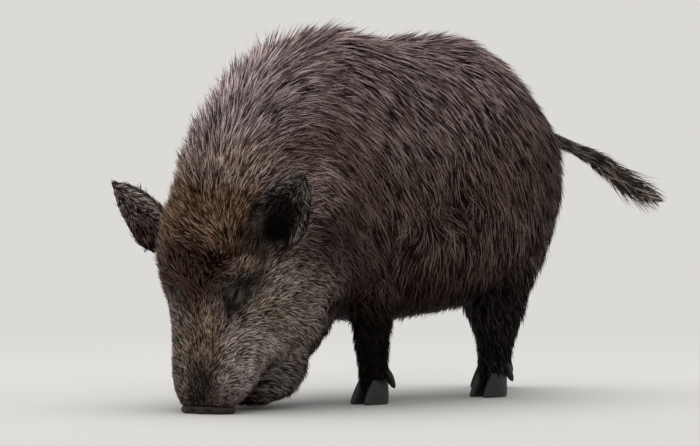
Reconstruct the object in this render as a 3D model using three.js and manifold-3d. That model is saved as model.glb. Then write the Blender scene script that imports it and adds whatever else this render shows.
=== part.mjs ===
// A wild boar sow, life size, rooting: head down with the snout on the ground, the left front foot set back
// and the left hind foot set forward, the tail held out. Millimetres, +Z up. The animal faces -Y and its left is +X.
// The trunk, neck and head are one run of ribs, each lying in a plane across the body, parted by thin gaps.
// Every solid reaches out to the tips of the coat, so the bare body would lie inside it.
import * as THREE from 'three';
import { LoftGeometry } from 'three/addons/geometries/LoftGeometry.js';
import { mergeVertices } from 'three/addons/utils/BufferGeometryUtils.js';
import Module from 'manifold-3d';

const wasm = await Module();
wasm.setup();

// ---- Driving dimensions ----

const PART_GAP = 0.4; // clear width between two neighbouring runs of ribs
const FIT_GAP = 1; // clear width where one solid is cut to fit against another
const BODY_FACETS = 28; // points around a rib
const LIMB_FACETS = 14; // points around a leg or the tail
const EYE_RADIUS = 12;
// The snout disc, flat on the ground: grip is the share of its width that touches, lip how high its rim rounds.
const DISC = { thick: 14.6, overhang: 0, grip: 0.88, lip: 5, nostril: { across: 18, radius: 8, deep: 6 } };
const BOX_CENTRE = [0, -108.71]; // [left, forward] of the middle of the whole animal's box, from mid-body

// The ribs, from the tail to the nose. top and bottom are [forward, up], half is half the width, level is how far
// up the rib the widest place sits, crown and keel are the roundness exponents of its upper and lower half (2 is an
// ellipse, less is sharper), side is how far left its top lies, and turn is degrees to the left about its top.
const RIBS = {
  tailRoot: { top: [-506, 548], bottom: [-506, 484], half: 34, level: 0.5, crown: 2, keel: 2, side: 0, turn: 0 },
  rump: { top: [-484, 600], bottom: [-484, 370], half: 106, level: 0.5, crown: 2, keel: 2.1, side: 0, turn: 0 },
  ham: { top: [-440, 668], bottom: [-436, 285], half: 162, level: 0.48, crown: 1.9, keel: 2.2, side: 0, turn: 0 },
  hip: { top: [-365, 738], bottom: [-360, 225], half: 205, level: 0.46, crown: 1.85, keel: 2.3, side: 0, turn: 0 },
  loin: { top: [-268, 796], bottom: [-260, 202], half: 232, level: 0.46, crown: 1.85, keel: 2.3, side: 0, turn: 0 },
  flank: { top: [-140, 795], bottom: [-130, 185], half: 245, level: 0.46, crown: 1.9, keel: 2.3, side: 0, turn: 0 },
  barrel: { top: [0, 797], bottom: [5, 178], half: 246, level: 0.46, crown: 1.9, keel: 2.3, side: 0, turn: 0 },
  withers: { top: [112, 818], bottom: [100, 182], half: 238, level: 0.46, crown: 1.8, keel: 2.2, side: 0, turn: 0 },
  shoulder: { top: [222, 790], bottom: [185, 186], half: 230, level: 0.45, crown: 1.8, keel: 2.1, side: 0, turn: 0 },
  crest: { top: [320, 745], bottom: [238, 184], half: 216, level: 0.44, crown: 1.8, keel: 2.2, side: 6, turn: 4 },
  neck: { top: [410, 680], bottom: [244, 170], half: 205, level: 0.42, crown: 1.8, keel: 2.5, side: 18, turn: 8 },
  nape: { top: [480, 594], bottom: [234, 152], half: 194, level: 0.42, crown: 1.85, keel: 2.7, side: 34, turn: 12 },
  poll: { top: [522, 505], bottom: [222, 136], half: 186, level: 0.43, crown: 1.95, keel: 2.8, side: 48, turn: 15 },
  forehead: { top: [548, 416], bottom: [216, 122], half: 174, level: 0.44, crown: 2.1, keel: 2.8, side: 62, turn: 18 },
  brow: { top: [561, 335], bottom: [214, 106], half: 160, level: 0.46, crown: 2.3, keel: 2.6, side: 78, turn: 19 },
  eyes: { top: [565, 268], bottom: [236, 92], half: 138, level: 0.47, crown: 2.4, keel: 2.4, side: 91, turn: 20 },
  cheek: { top: [570, 200], bottom: [296, 84], half: 118, level: 0.5, crown: 2.5, keel: 2.2, side: 100, turn: 20 },
  lips: { top: [575, 132], bottom: [412, 80], half: 97, level: 0.5, crown: 2.7, keel: 2.2, side: 102, turn: 20 },
  muzzle: { top: [580, 65], bottom: [450, 42], half: 87, level: 0.5, crown: 2.7, keel: 2.2, side: 104, turn: 20 },
  noseRim: { top: [580, 15], bottom: [500, 15], half: 62, level: 0.5, crown: 2.2, keel: 2.2, side: 104, turn: 20 },
};
// The lower jaw, parted from the lips by the open mouth, in the same terms.
const JAW_RIBS = {
  hinge: { top: [440, 172], bottom: [248, 92], half: 118, level: 0.5, crown: 2.2, keel: 2.1, side: 56, turn: 20 },
  jowl: { top: [442, 126], bottom: [262, 58], half: 114, level: 0.5, crown: 2.2, keel: 2.1, side: 56, turn: 20 },
  jawMid: { top: [442, 70], bottom: [312, 26], half: 98, level: 0.5, crown: 2.2, keel: 2.1, side: 60, turn: 20 },
  chin: { top: [450, 26], bottom: [384, 8], half: 60, level: 0.5, crown: 2, keel: 2, side: 64, turn: 20 },
};

// The legs. Each station is a level ring: up, reach is its share of the way from the foot to the joint inside the
// body, bend is how far forward of that line it lies, and deep and wide are half its size fore and aft and across.
const FORE_STATIONS = [
  { up: 430, reach: 1, bend: 0, deep: 98, wide: 66 },
  { up: 330, reach: 0.72, bend: 0, deep: 90, wide: 64 },
  { up: 240, reach: 0.4, bend: -10, deep: 66, wide: 52 },
  { up: 185, reach: 0.2, bend: -8, deep: 52, wide: 42 },
  { up: 130, reach: 0.08, bend: -2, deep: 43, wide: 36 },
  { up: 80, reach: 0, bend: -2, deep: 36, wide: 33 },
  { up: 46, reach: 0, bend: -2, deep: 31, wide: 33 },
];
const HIND_STATIONS = [
  { up: 470, reach: 1, bend: 0, deep: 90, wide: 70 },
  { up: 380, reach: 0.8, bend: 0, deep: 100, wide: 76 },
  { up: 300, reach: 0.5, bend: -4, deep: 95, wide: 68 },
  { up: 225, reach: 0.24, bend: -10, deep: 78, wide: 55 },
  { up: 175, reach: 0.12, bend: -10, deep: 68, wide: 48 },
  { up: 140, reach: 0.08, bend: -10, deep: 53, wide: 41 },
  { up: 105, reach: 0.05, bend: -10, deep: 43, wide: 36 },
  { up: 75, reach: 0.02, bend: -8, deep: 40, wide: 35 },
  { up: 46, reach: 0, bend: -2, deep: 32, wide: 33 },
];
// foot and joint are [left, forward].
const LEGS = {
  fore_left: { stations: FORE_STATIONS, foot: [115, 90], joint: [118, 150] },
  fore_right: { stations: FORE_STATIONS, foot: [-105, 290], joint: [-118, 190] },
  hind_left: { stations: HIND_STATIONS, foot: [115, -270], joint: [118, -340] },
  hind_right: { stations: HIND_STATIONS, foot: [-110, -490], joint: [-118, -360] },
};

// One foot's claws, relative to the middle of the foot: across is to the side, then from heel to toe at the sole
// and at the top. The dewclaws hang behind the pastern.
const CLAW = { across: 16.5, half: 14, sole: [-28, 45], crown: [-26, 25], top: 46 };
const DEWCLAW = { across: 19, from: [-24, 70], to: [-45, 34], thick: [12, 5] };

// The ears, each a cupped leaf on the side of the head. base and tip are [outwards, back, up] from the forehead's
// top, facing is the way the cup opens, outwards and forward.
const EARS = {
  ear_left: { base: [140, 52, 366], tip: [200, 106, 500], facing: [0.48, 0.88], width: 118 },
  ear_right: { base: [-138, 78, 360], tip: [-258, 92, 482], facing: [-0.4, 0.92], width: 108 },
};
const EAR_SHAPE = { outline: [0.7, 0.93, 1.02, 0.97, 0.82, 0.57, 0.15], cup: 36, thick: 10 };

const EYE_ANGLE = 61; // degrees round the rib of the eyes, from its side
const EYE_SUNK = 7; // how far the middle of the eye lies inside the head

// The tail, held out and a little to the left. at is [left, forward, up], thick is half its width and height.
const TAIL = [
  { at: [0, -470, 556], thick: [17, 17] },
  { at: [8, -545, 566], thick: [15, 15] },
  { at: [16, -584, 559], thick: [13, 13] },
  { at: [35, -615, 541], thick: [12, 13] },
  { at: [60, -654, 519], thick: [12, 17] },
  { at: [72, -678, 500], thick: [13, 25] },
  { at: [87, -706, 477], thick: [13, 30] },
  { at: [106, -748, 449], thick: [11, 27] },
  { at: [121, -783, 431], thick: [8, 17] },
  { at: [130, -806, 419], thick: [3, 5] },
];
const TUFT_FROM = 4; // the tail's tuft of long hair starts at this station

// ---- Helpers ----

const rad = THREE.MathUtils.degToRad;
const UP = new THREE.Vector3(0, 0, 1);

// Left, forward and up in the animal's own terms, as a point of the part's frame.
const place = (left, forward, up) => new THREE.Vector3(left, -forward, up);

// Catmull-Rom through equal steps of a list of numbers, at t from 0 to the list's length less one.
function through(values, t) {
  const i = Math.min(Math.floor(t), values.length - 2);
  const [a, b, c, d] = [-1, 0, 1, 2].map((k) => values[THREE.MathUtils.clamp(i + k, 0, values.length - 1)]);
  const u = t - i;
  return b + 0.5 * u * (c - a + u * (2 * a - 5 * b + 4 * c - d + u * (3 * (b - c) + d - a)));
}

// A station between two of a list of stations, every number and pair of numbers blended.
function between(stations, t) {
  const blended = {};
  for (const key of Object.keys(stations[0])) {
    const values = stations.map((s) => s[key]);
    blended[key] = Array.isArray(values[0])
      ? values[0].map((_, axis) => through(values.map((v) => v[axis]), t))
      : through(values, t);
  }
  return blended;
}

// cos or sin raised towards a box: power 1 is a circle, smaller is boxier.
const squared = (value, power) => Math.sign(value) * Math.abs(value) ** power;

// A point outwards (to the left), back from the rib's top and up, in the turned plane of a rib.
function inRib(rib, outwards, back, up) {
  const turn = rad(rib.turn);
  return place(
    rib.side + outwards * Math.cos(turn) - back * Math.sin(turn),
    rib.top[0] - outwards * Math.sin(turn) - back * Math.cos(turn),
    up,
  );
}

// A point on a rib, at an angle from its left side.
function ribPoint(rib, angle) {
  const upper = Math.sin(angle) >= 0;
  const power = 2 / (upper ? rib.crown : rib.keel);
  const share = rib.level + squared(Math.sin(angle), power) * (upper ? 1 - rib.level : rib.level);
  return inRib(
    rib,
    rib.half * squared(Math.cos(angle), power),
    (1 - share) * (rib.top[0] - rib.bottom[0]),
    rib.bottom[1] + share * (rib.top[1] - rib.bottom[1]),
  );
}

const ringOf = (facets, pointAt) => Array.from({ length: facets }, (_, i) => pointAt((2 * Math.PI * i) / facets));

const centreOf = (ring) => ring.reduce((sum, p) => sum.add(p), new THREE.Vector3()).divideScalar(ring.length);

function solidOf(geometry) {
  const bare = new THREE.BufferGeometry();
  bare.setAttribute('position', geometry.getAttribute('position'));
  bare.setIndex(geometry.index);
  const merged = mergeVertices(bare, 1e-3);
  return new wasm.Manifold(new wasm.Mesh({
    numProp: 3,
    vertProperties: merged.getAttribute('position').array,
    triVerts: new Uint32Array(merged.index.array),
  }));
}

function geometryOf(solid) {
  const mesh = solid.getMesh();
  const geometry = new THREE.BufferGeometry();
  geometry.setAttribute('position', new THREE.BufferAttribute(mesh.vertProperties, 3));
  geometry.setIndex(new THREE.BufferAttribute(mesh.triVerts, 1));
  geometry.computeVertexNormals();
  return geometry;
}

// A closed loft through rings. They are reversed where needed, to run anticlockwise seen from the far end.
function loft(rings) {
  const area = rings[0].reduce((sum, p, i) => sum.add(p.clone().cross(rings[0][(i + 1) % rings[0].length])), new THREE.Vector3());
  const reversed = area.dot(centreOf(rings[1]).sub(centreOf(rings[0]))) < 0;
  const ordered = reversed ? rings.map((ring) => ring.toReversed()) : rings;
  return solidOf(new LoftGeometry(ordered, { capStart: true, capEnd: true }));
}

// A three.js geometry moved to its place, as a solid.
function placed(geometry, position, quaternion = new THREE.Quaternion()) {
  geometry.applyQuaternion(quaternion);
  geometry.translate(position.x, position.y, position.z);
  return solidOf(geometry);
}

// ---- Trunk, neck, head and jaw ----

// The run of ribs between two named ones. grow swells it, and trim moves its two end ribs inwards or outwards.
function ribRun(ribs, first, last, grow = 0, trim = PART_GAP / 2) {
  const names = Object.keys(ribs);
  const start = names.indexOf(first);
  const steps = 2 * (names.indexOf(last) - start);
  const rings = Array.from({ length: steps + 1 }, (_, i) =>
    ringOf(BODY_FACETS, (angle) => ribPoint(between(Object.values(ribs), start + i / 2), angle)));
  for (const ring of rings) {
    const centre = centreOf(ring);
    ring.forEach((p) => p.add(p.clone().sub(centre).setLength(grow)));
  }
  for (const [end, inner] of [[rings[0], rings[1]], [rings.at(-1), rings.at(-2)]]) {
    const normal = new THREE.Plane().setFromCoplanarPoints(end[0], end[7], end[14]).normal;
    if (normal.dot(centreOf(inner).sub(centreOf(end))) < 0) normal.negate();
    end.forEach((p) => p.addScaledVector(normal, trim));
  }
  return loft(rings);
}

// ---- Legs and feet ----

function legSolid({ stations, foot, joint }, grow = 0) {
  const rings = [];
  for (let i = 0; i <= 2 * (stations.length - 1); i++) {
    const s = between(stations, i / 2);
    rings.push(ringOf(LIMB_FACETS, (angle) => place(
      foot[0] + s.reach * (joint[0] - foot[0]) + (s.wide + grow) * Math.cos(angle),
      foot[1] + s.reach * (joint[1] - foot[1]) + s.bend + (s.deep + grow) * Math.sin(angle),
      s.up,
    )));
  }
  return loft(rings);
}

// One claw: a level ring at the sole, pointed towards the toe, narrowing to a ring under the pastern.
function clawSolid(foot, side) {
  const ringAt = ([heel, toe], up, shrink) => ringOf(LIMB_FACETS, (angle) => {
    const along = Math.sin(angle);
    const taper = 1 - 0.35 * Math.max(0, along) ** 2;
    return place(
      foot[0] + side * CLAW.across + (CLAW.half - shrink) * taper * squared(Math.cos(angle), 0.8),
      foot[1] + (heel + toe) / 2 + ((toe - heel) / 2) * squared(along, 0.9),
      up,
    );
  });
  const top = CLAW.top - PART_GAP;
  return loft([ringAt(CLAW.sole, 0, 0), ringAt(CLAW.sole, 7, -0.6), ringAt(CLAW.crown, top, 1)]);
}

function dewclawSolid(foot, side) {
  const { across, from, to, thick } = DEWCLAW;
  return loft(tubeRings([from, to].map(([forward, up], i) => ({
    at: [foot[0] + side * (across + 4 * i), foot[1] + forward, up],
    thick: [thick[i], thick[i]],
  })), 10));
}

// Rings along stations, each square to the line between its neighbours. split names a station where two tubes meet:
// it gives two rings, a thin gap apart.
function tubeRings(stations, facets, split = -1) {
  const points = stations.map(({ at }) => place(...at));
  return stations.flatMap(({ thick }, i) => {
    const along = points[Math.min(i + 1, points.length - 1)].clone().sub(points[Math.max(i - 1, 0)]).normalize();
    const across = along.clone().cross(UP).normalize();
    const rise = across.clone().cross(along);
    return (i === split ? [-PART_GAP / 2, PART_GAP / 2] : [0]).map((shift) => ringOf(facets, (angle) =>
      points[i].clone().addScaledVector(along, shift)
        .addScaledVector(across, thick[0] * Math.cos(angle)).addScaledVector(rise, thick[1] * Math.sin(angle))));
  });
}

// ---- Ears, eyes and snout disc ----

// A cupped leaf from base to tip: each ring runs along the back of the cup and returns along its hollow.
function earSolid({ base, tip, facing, width }) {
  const face = RIBS.forehead;
  const start = inRib(face, ...base);
  const axis = inRib(face, ...tip).sub(start);
  const opening = inRib(face, facing[0], -facing[1], 0).sub(inRib(face, 0, 0, 0));
  const along = axis.clone().normalize();
  const across = opening.clone().cross(along).normalize();
  const hollow = along.clone().cross(across);
  const { outline, cup, thick } = EAR_SHAPE;
  const rings = outline.map((share, i) => {
    const s = i / (outline.length - 1);
    const centre = start.clone().addScaledVector(axis, s);
    const depth = cup * share * (1 - 0.6 * s);
    const wall = thick * (1 - 0.5 * s);
    const at = (u, front) => centre.clone().addScaledVector(across, (width / 2) * share * u)
      .addScaledVector(hollow, -depth * (1 - u * u) + (front ? wall * (1 - 0.7 * u * u) : -wall * 0.3 * u * u));
    const steps = [-1, -0.66, -0.33, 0, 0.33, 0.66, 1];
    return [...steps.map((u) => at(u, false)), ...steps.toReversed().map((u) => at(u, true))];
  });
  return loft(rings);
}

function eyeSeat(side) {
  const ring = RIBS.eyes;
  const surface = ribPoint(ring, side > 0 ? rad(EYE_ANGLE) : rad(180 - EYE_ANGLE));
  const middle = inRib(ring, 0, (ring.top[0] - ring.bottom[0]) * 0.4, ring.top[1] - 60);
  return surface.lerp(middle, EYE_SUNK / surface.distanceTo(middle));
}

// A flat round cushion with a rounded lower rim, on the ground under the end of the muzzle, with two nostrils.
function discSolid() {
  const rim = RIBS.noseRim;
  const { thick, grip, lip, nostril } = DISC;
  const depth = (rim.top[0] - rim.bottom[0]) / 2;
  const turnedTo = new THREE.Quaternion().setFromAxisAngle(UP, rad(rim.turn));
  const profile = [[0, 0], [grip, 0], [1, lip], [1, thick], [0, thick]].map(([r, up]) => new THREE.Vector2(r, up));
  const cushion = new THREE.LatheGeometry(profile, BODY_FACETS).rotateX(Math.PI / 2)
    .scale(rim.half + DISC.overhang, depth + DISC.overhang, 1);
  const middle = inRib(rim, 0, depth, 0);
  return [-1, 1].reduce((solid, side) => {
    const hole = new THREE.CylinderGeometry(nostril.radius, nostril.radius, 2 * nostril.deep, 16);
    return solid.subtract(placed(hole.rotateX(Math.PI / 2), inRib(rim, side * nostril.across, depth - 6, 0)));
  }, placed(cushion, middle, turnedTo));
}

// ---- Assembly ----

const boar = new THREE.Group();
const finish = (color, roughness) => new THREE.MeshStandardMaterial({ color, roughness, metalness: 0 });
const coatBrown = finish('#4a3c34', 0.85);
const faceBrown = finish('#6b5546', 0.85);
const earGrey = finish('#3a3431', 0.9);
const legBlack = finish('#241f1d', 0.8);
const snoutSkin = finish('#4b3b38', 0.5);
const hornBlack = finish('#1c1a1a', 0.45);
const eyeBrown = finish('#1a100b', 0.08);

function part(name, solid, material) {
  const mesh = new THREE.Mesh(geometryOf(solid), material);
  mesh.name = name;
  boar.add(mesh);
}

const ball = (radius, side) => placed(new THREE.SphereGeometry(radius, 20, 14), eyeSeat(side));
const cut = (solid, cutters) => cutters.reduce((rest, cutter) => rest.subtract(cutter), solid);

const trunk = ribRun(RIBS, 'tailRoot', 'shoulder');
const neck = ribRun(RIBS, 'shoulder', 'poll');
const head = cut(ribRun(RIBS, 'poll', 'noseRim'), [-1, 1].map((side) => ball(EYE_RADIUS + PART_GAP, side)));
const nearTrunk = [trunk, ribRun(RIBS, 'tailRoot', 'shoulder', FIT_GAP, -FIT_GAP)];
const nearNeck = [neck, ribRun(RIBS, 'shoulder', 'poll', FIT_GAP, -FIT_GAP)];
const nearHead = [head, ribRun(RIBS, 'poll', 'noseRim', FIT_GAP, -FIT_GAP)];

part('trunk', trunk, coatBrown);
part('neck', neck, coatBrown);
part('head', head, faceBrown);
part('lower_jaw', cut(ribRun(JAW_RIBS, 'hinge', 'chin'), [...nearHead, ...nearNeck]), faceBrown);
part('snout_disc', discSolid(), snoutSkin);
part('eye_left', ball(EYE_RADIUS, 1), eyeBrown);
part('eye_right', ball(EYE_RADIUS, -1), eyeBrown);
for (const [name, ear] of Object.entries(EARS)) part(name, cut(earSolid(ear), [...nearHead, ...nearNeck]), earGrey);
const tailRings = tubeRings(TAIL, LIMB_FACETS, TUFT_FROM);
part('tail', cut(loft(tailRings.slice(0, TUFT_FROM + 1)), nearTrunk), coatBrown);
part('tail_tuft', loft(tailRings.slice(TUFT_FROM + 1)), earGrey);

for (const [name, leg] of Object.entries(LEGS)) {
  part(`${name}_leg`, cut(legSolid(leg), [...nearTrunk, ...nearNeck, ...nearHead]), legBlack);
  for (const [sideName, side] of [['outer', Math.sign(leg.foot[0])], ['inner', -Math.sign(leg.foot[0])]]) {
    part(`${name}_claw_${sideName}`, clawSolid(leg.foot, side), hornBlack);
    part(`${name}_dewclaw_${sideName}`, cut(dewclawSolid(leg.foot, side), [legSolid(leg, FIT_GAP)]), hornBlack);
  }
}

boar.position.copy(place(-BOX_CENTRE[0], -BOX_CENTRE[1], 0));
boar.updateMatrixWorld(true);

export default boar;
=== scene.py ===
"""A life-size wild boar sow, rooting with its head down, dressed over its solid frame.

The flesh is a set of closed surfaces of two parameters, joined into one skin. The coat is tufts of bristle
that start on the skin and are combed along it by tables of the body's own cross-sections.
"""

import logging
import math
from dataclasses import dataclass, field
from enum import Enum

import bpy
import numpy as np
from mathutils import Euler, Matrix
from mathutils.bvhtree import BVHTree


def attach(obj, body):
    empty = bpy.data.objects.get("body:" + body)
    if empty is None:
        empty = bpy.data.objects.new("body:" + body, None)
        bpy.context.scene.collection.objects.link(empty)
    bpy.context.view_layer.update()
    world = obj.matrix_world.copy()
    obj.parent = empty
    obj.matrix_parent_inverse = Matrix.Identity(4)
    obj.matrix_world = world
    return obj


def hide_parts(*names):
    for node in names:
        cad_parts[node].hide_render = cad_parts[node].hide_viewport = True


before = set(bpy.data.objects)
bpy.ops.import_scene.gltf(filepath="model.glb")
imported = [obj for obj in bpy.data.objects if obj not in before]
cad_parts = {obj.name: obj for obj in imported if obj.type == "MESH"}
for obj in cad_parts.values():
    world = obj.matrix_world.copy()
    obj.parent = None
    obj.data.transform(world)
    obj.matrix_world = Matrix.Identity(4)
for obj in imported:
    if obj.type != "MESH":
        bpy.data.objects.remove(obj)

log = logging.getLogger("boar")

Array = np.ndarray
Pair = tuple[float, float]
Triple = tuple[float, float, float]
MM = 0.001
MID_BODY = 108.71  # mm that the middle of the body lies ahead of the frame's origin
STEP = 0.02  # the step along s and round by turn over which a surface's slopes are measured
TUFT_RINGS = 2  # rings of a tuft before its tip
PATCH = 0.003  # width of one tuft on its map


class Side(Enum):
    """The animal's two sides, each with the sign of its way from the middle."""

    LEFT = 1
    RIGHT = -1


class Zone(Enum):
    """What a run of coat covers, by the name of its finish in the part's record."""

    BODY = "coat"
    FACE = "face_coat"
    EAR = "ear_coat"
    LEG = "leg_coat"


# ---- Numbers and curves ----


def place(side: Array | float, ahead: Array | float, up: Array | float) -> Array:
    """Turns mm to the left, ahead of mid-body and up into metres of the frame.

    Args:
        side: mm to the animal's left.
        ahead: mm ahead of the middle of the body.
        up: mm above the ground.

    Returns:
        Points whose last axis is x, y, z.
    """
    side, ahead, up = np.broadcast_arrays(side, ahead, up)
    return np.stack((side, -ahead - MID_BODY, up), axis=-1) * MM


def unit(vectors: Array) -> Array:
    """Scales vectors to length 1.

    Args:
        vectors: any array whose last axis is x, y, z.

    Returns:
        The same directions with length 1.
    """
    return vectors / np.maximum(np.linalg.norm(vectors, axis=-1, keepdims=True), 1e-12)


def through(table: Array, s: Array) -> Array:
    """Catmull-Rom through equal steps of a table: the cubic with each row's slope set by its neighbours.

    Args:
        table: one row of numbers for each station.
        s: where to read it, 0 at the first station.

    Returns:
        One row for each s.
    """
    last = len(table) - 1
    i = np.clip(np.floor(s).astype(int), 0, last - 1)
    u = (s - i)[:, None]
    a, b, c, d = (table[np.clip(i + k, 0, last)] for k in (-1, 0, 1, 2))
    return b + 0.5 * u * (c - a + u * (2 * a - 5 * b + 4 * c - d + u * (3 * (b - c) + d - a)))


def spread(table: Array, s: Array, share: Array) -> Array:
    """Reads a table of rows and columns, straight between its entries in both ways.

    Args:
        table: one row for each station, with equal steps of share along it.
        s: the station, 0 at the first.
        share: the way along the row, from 0 to 1.

    Returns:
        One number for each s.
    """
    rows, columns = table.shape
    s, c = np.clip(s, 0, rows - 1), np.clip(share, 0, 1) * (columns - 1)
    i, j = np.minimum(s.astype(int), rows - 2), np.minimum(c.astype(int), columns - 2)
    u, v = s - i, c - j
    low = table[i, j] * (1 - v) + table[i, j + 1] * v
    high = table[i + 1, j] * (1 - v) + table[i + 1, j + 1] * v
    return low * (1 - u) + high * u


def squared(value: Array, power: Array | float) -> Array:
    """Raises a sine or cosine towards a box: power 1 is a circle, and less is boxier."""
    return np.sign(value) * np.abs(value) ** power


def circle(count: int) -> Array:
    """Gives that many equal angles once round a circle, in radians from 0."""
    return np.linspace(0, 2 * math.pi, count, endpoint=False)


def distance(points: Array, centre: Triple) -> Array:
    """Gives each point's distance in metres from a place given in mm."""
    return np.linalg.norm(points - place(*centre), axis=1)


class Grain:
    """Smooth seeded noise: random numbers on a lattice, blended by smoothstep between its eight corners."""

    def __init__(self, seed: int, channels: int = 1, cells: int = 24) -> None:
        """Fills the lattice.

        Args:
            seed: what makes it repeat.
            channels: numbers given at each place.
            cells: how many lattice points before it repeats.
        """
        self.cells = cells
        self.lattice = np.random.default_rng(seed).uniform(-1, 1, (cells, cells, cells, channels))

    def at(self, points: Array, size: float) -> Array:
        """Reads the noise.

        Args:
            points: places in metres.
            size: mm from one lattice point to the next.

        Returns:
            One row of channels, each about -1 to 1, for each point.
        """
        q = points / (size * MM)
        low = np.floor(q).astype(int)
        f = q - low
        f = f * f * (3 - 2 * f)
        total = 0.0
        for corner in np.ndindex(2, 2, 2):
            i, j, k = ((low + corner) % self.cells).T
            weight = np.prod(np.where(np.array(corner) == 1, f, 1 - f), axis=1)
            total = total + self.lattice[i, j, k] * weight[:, None]
        return total


def mesh_object(name: str, points: Array, polygons: list[Array], smooth: bool = True) -> bpy.types.Object:
    """Puts arrays of points and polygons into a new object.

    Args:
        name: the piece's name.
        points: the places, in metres.
        polygons: arrays of point numbers, one row for each polygon and one array for each polygon size.
        smooth: whether its faces are shaded as one curved surface.

    Returns:
        The object, at the origin and linked to the scene.
    """
    mesh = bpy.data.meshes.new(name)
    sizes = np.concatenate([np.full(len(p), p.shape[1]) for p in polygons])
    corners = np.concatenate([p.ravel() for p in polygons])
    mesh.vertices.add(len(points))
    mesh.loops.add(len(corners))
    mesh.polygons.add(len(sizes))
    mesh.vertices.foreach_set("co", np.ascontiguousarray(points, dtype=np.float32).ravel())
    mesh.loops.foreach_set("vertex_index", corners.astype(np.int32))
    mesh.polygons.foreach_set("loop_start", (np.cumsum(sizes) - sizes).astype(np.int32))
    mesh.polygons.foreach_set("use_smooth", np.full(len(sizes), smooth))
    mesh.update(calc_edges=True)
    obj = bpy.data.objects.new(name, mesh)
    bpy.context.scene.collection.objects.link(obj)
    return obj


def points_of(mesh: bpy.types.Mesh) -> Array:
    """Reads a mesh's points.

    Args:
        mesh: the mesh.

    Returns:
        Rows of x, y, z in metres.
    """
    out = np.empty(3 * len(mesh.vertices), dtype=np.float32)
    mesh.vertices.foreach_get("co", out)
    return out.reshape(-1, 3).astype(float)


def note(piece: bpy.types.Object, name: str, values: Array) -> None:
    """Writes values into an attribute of a piece's points.

    Args:
        piece: the piece.
        name: the attribute's name.
        values: one number, or one row of three, for each point.
    """
    kind, key = ("FLOAT", "value") if values.ndim == 1 else ("FLOAT_VECTOR", "vector")
    made = piece.data.attributes.new(name, kind, "POINT")
    made.data.foreach_set(key, values.astype(np.float32).ravel())


def shell(points: Array, capped: bool = True) -> tuple[Array, list[Array]]:
    """Closes a grid of rings into a shell, with a fan of triangles from the middle of each end ring.

    A closed shell's faces are turned round where the volume they enclose comes out below zero. An open one
    faces the way that its rings grow wider against the clock.

    Args:
        points: rings by places round each ring by x, y, z.
        capped: whether the two ends are closed.

    Returns:
        The points, and the arrays of four-sided and three-sided faces.
    """
    rings, facets = points.shape[:2]
    i, j = np.meshgrid(np.arange(rings - 1), np.arange(facets), indexing="ij")
    k = (j + 1) % facets
    corners = (i * facets + j, i * facets + k, (i + 1) * facets + k, (i + 1) * facets + j)
    quads = np.stack(corners, -1).reshape(-1, 4)
    flat = points.reshape(-1, 3)
    if not capped:
        return flat, [quads[:, ::-1]]
    j = np.arange(facets)
    k = (j + 1) % facets
    first, last = np.full(facets, len(flat)), np.full(facets, len(flat) + 1)
    base = (rings - 1) * facets
    fans = np.concatenate((np.stack((first, k, j), -1), np.stack((last, base + j, base + k), -1)))
    verts = np.vstack((flat, points[0].mean(0), points[-1].mean(0)))
    triangles = np.concatenate((quads[:, :3], quads[:, [0, 2, 3]], fans))
    a, b, c = np.moveaxis((verts - verts.mean(0))[triangles], 1, 0)
    if np.sum(a * np.cross(b, c)) < 0:
        quads, fans = quads[:, ::-1], fans[:, ::-1]
    return verts, [quads, fans]


# ---- The flesh, as surfaces of two parameters ----


@dataclass(frozen=True)
class Rib:
    """One cross-section of the body in mm, and the coat it wears.

    top and bottom are [ahead, up], half is half the width, level is how far up the widest place sits, crown
    and keel are the roundness of the upper and lower half, side is how far left its top lies, and turn is
    degrees to the left about its top. coat is the coat's depth and hair its length at the crest, the side and
    the belly, lift is the degrees it stands off the skin there, and comb is the degrees its lie turns from
    tailwards towards downwards, at five equal steps from the crest to the belly.
    """

    name: str
    top: Pair
    bottom: Pair
    half: float
    level: float
    crown: float
    keel: float
    side: float
    turn: float
    coat: Triple
    hair: Triple
    lift: Triple
    comb: tuple[float, float, float, float, float]


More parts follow.
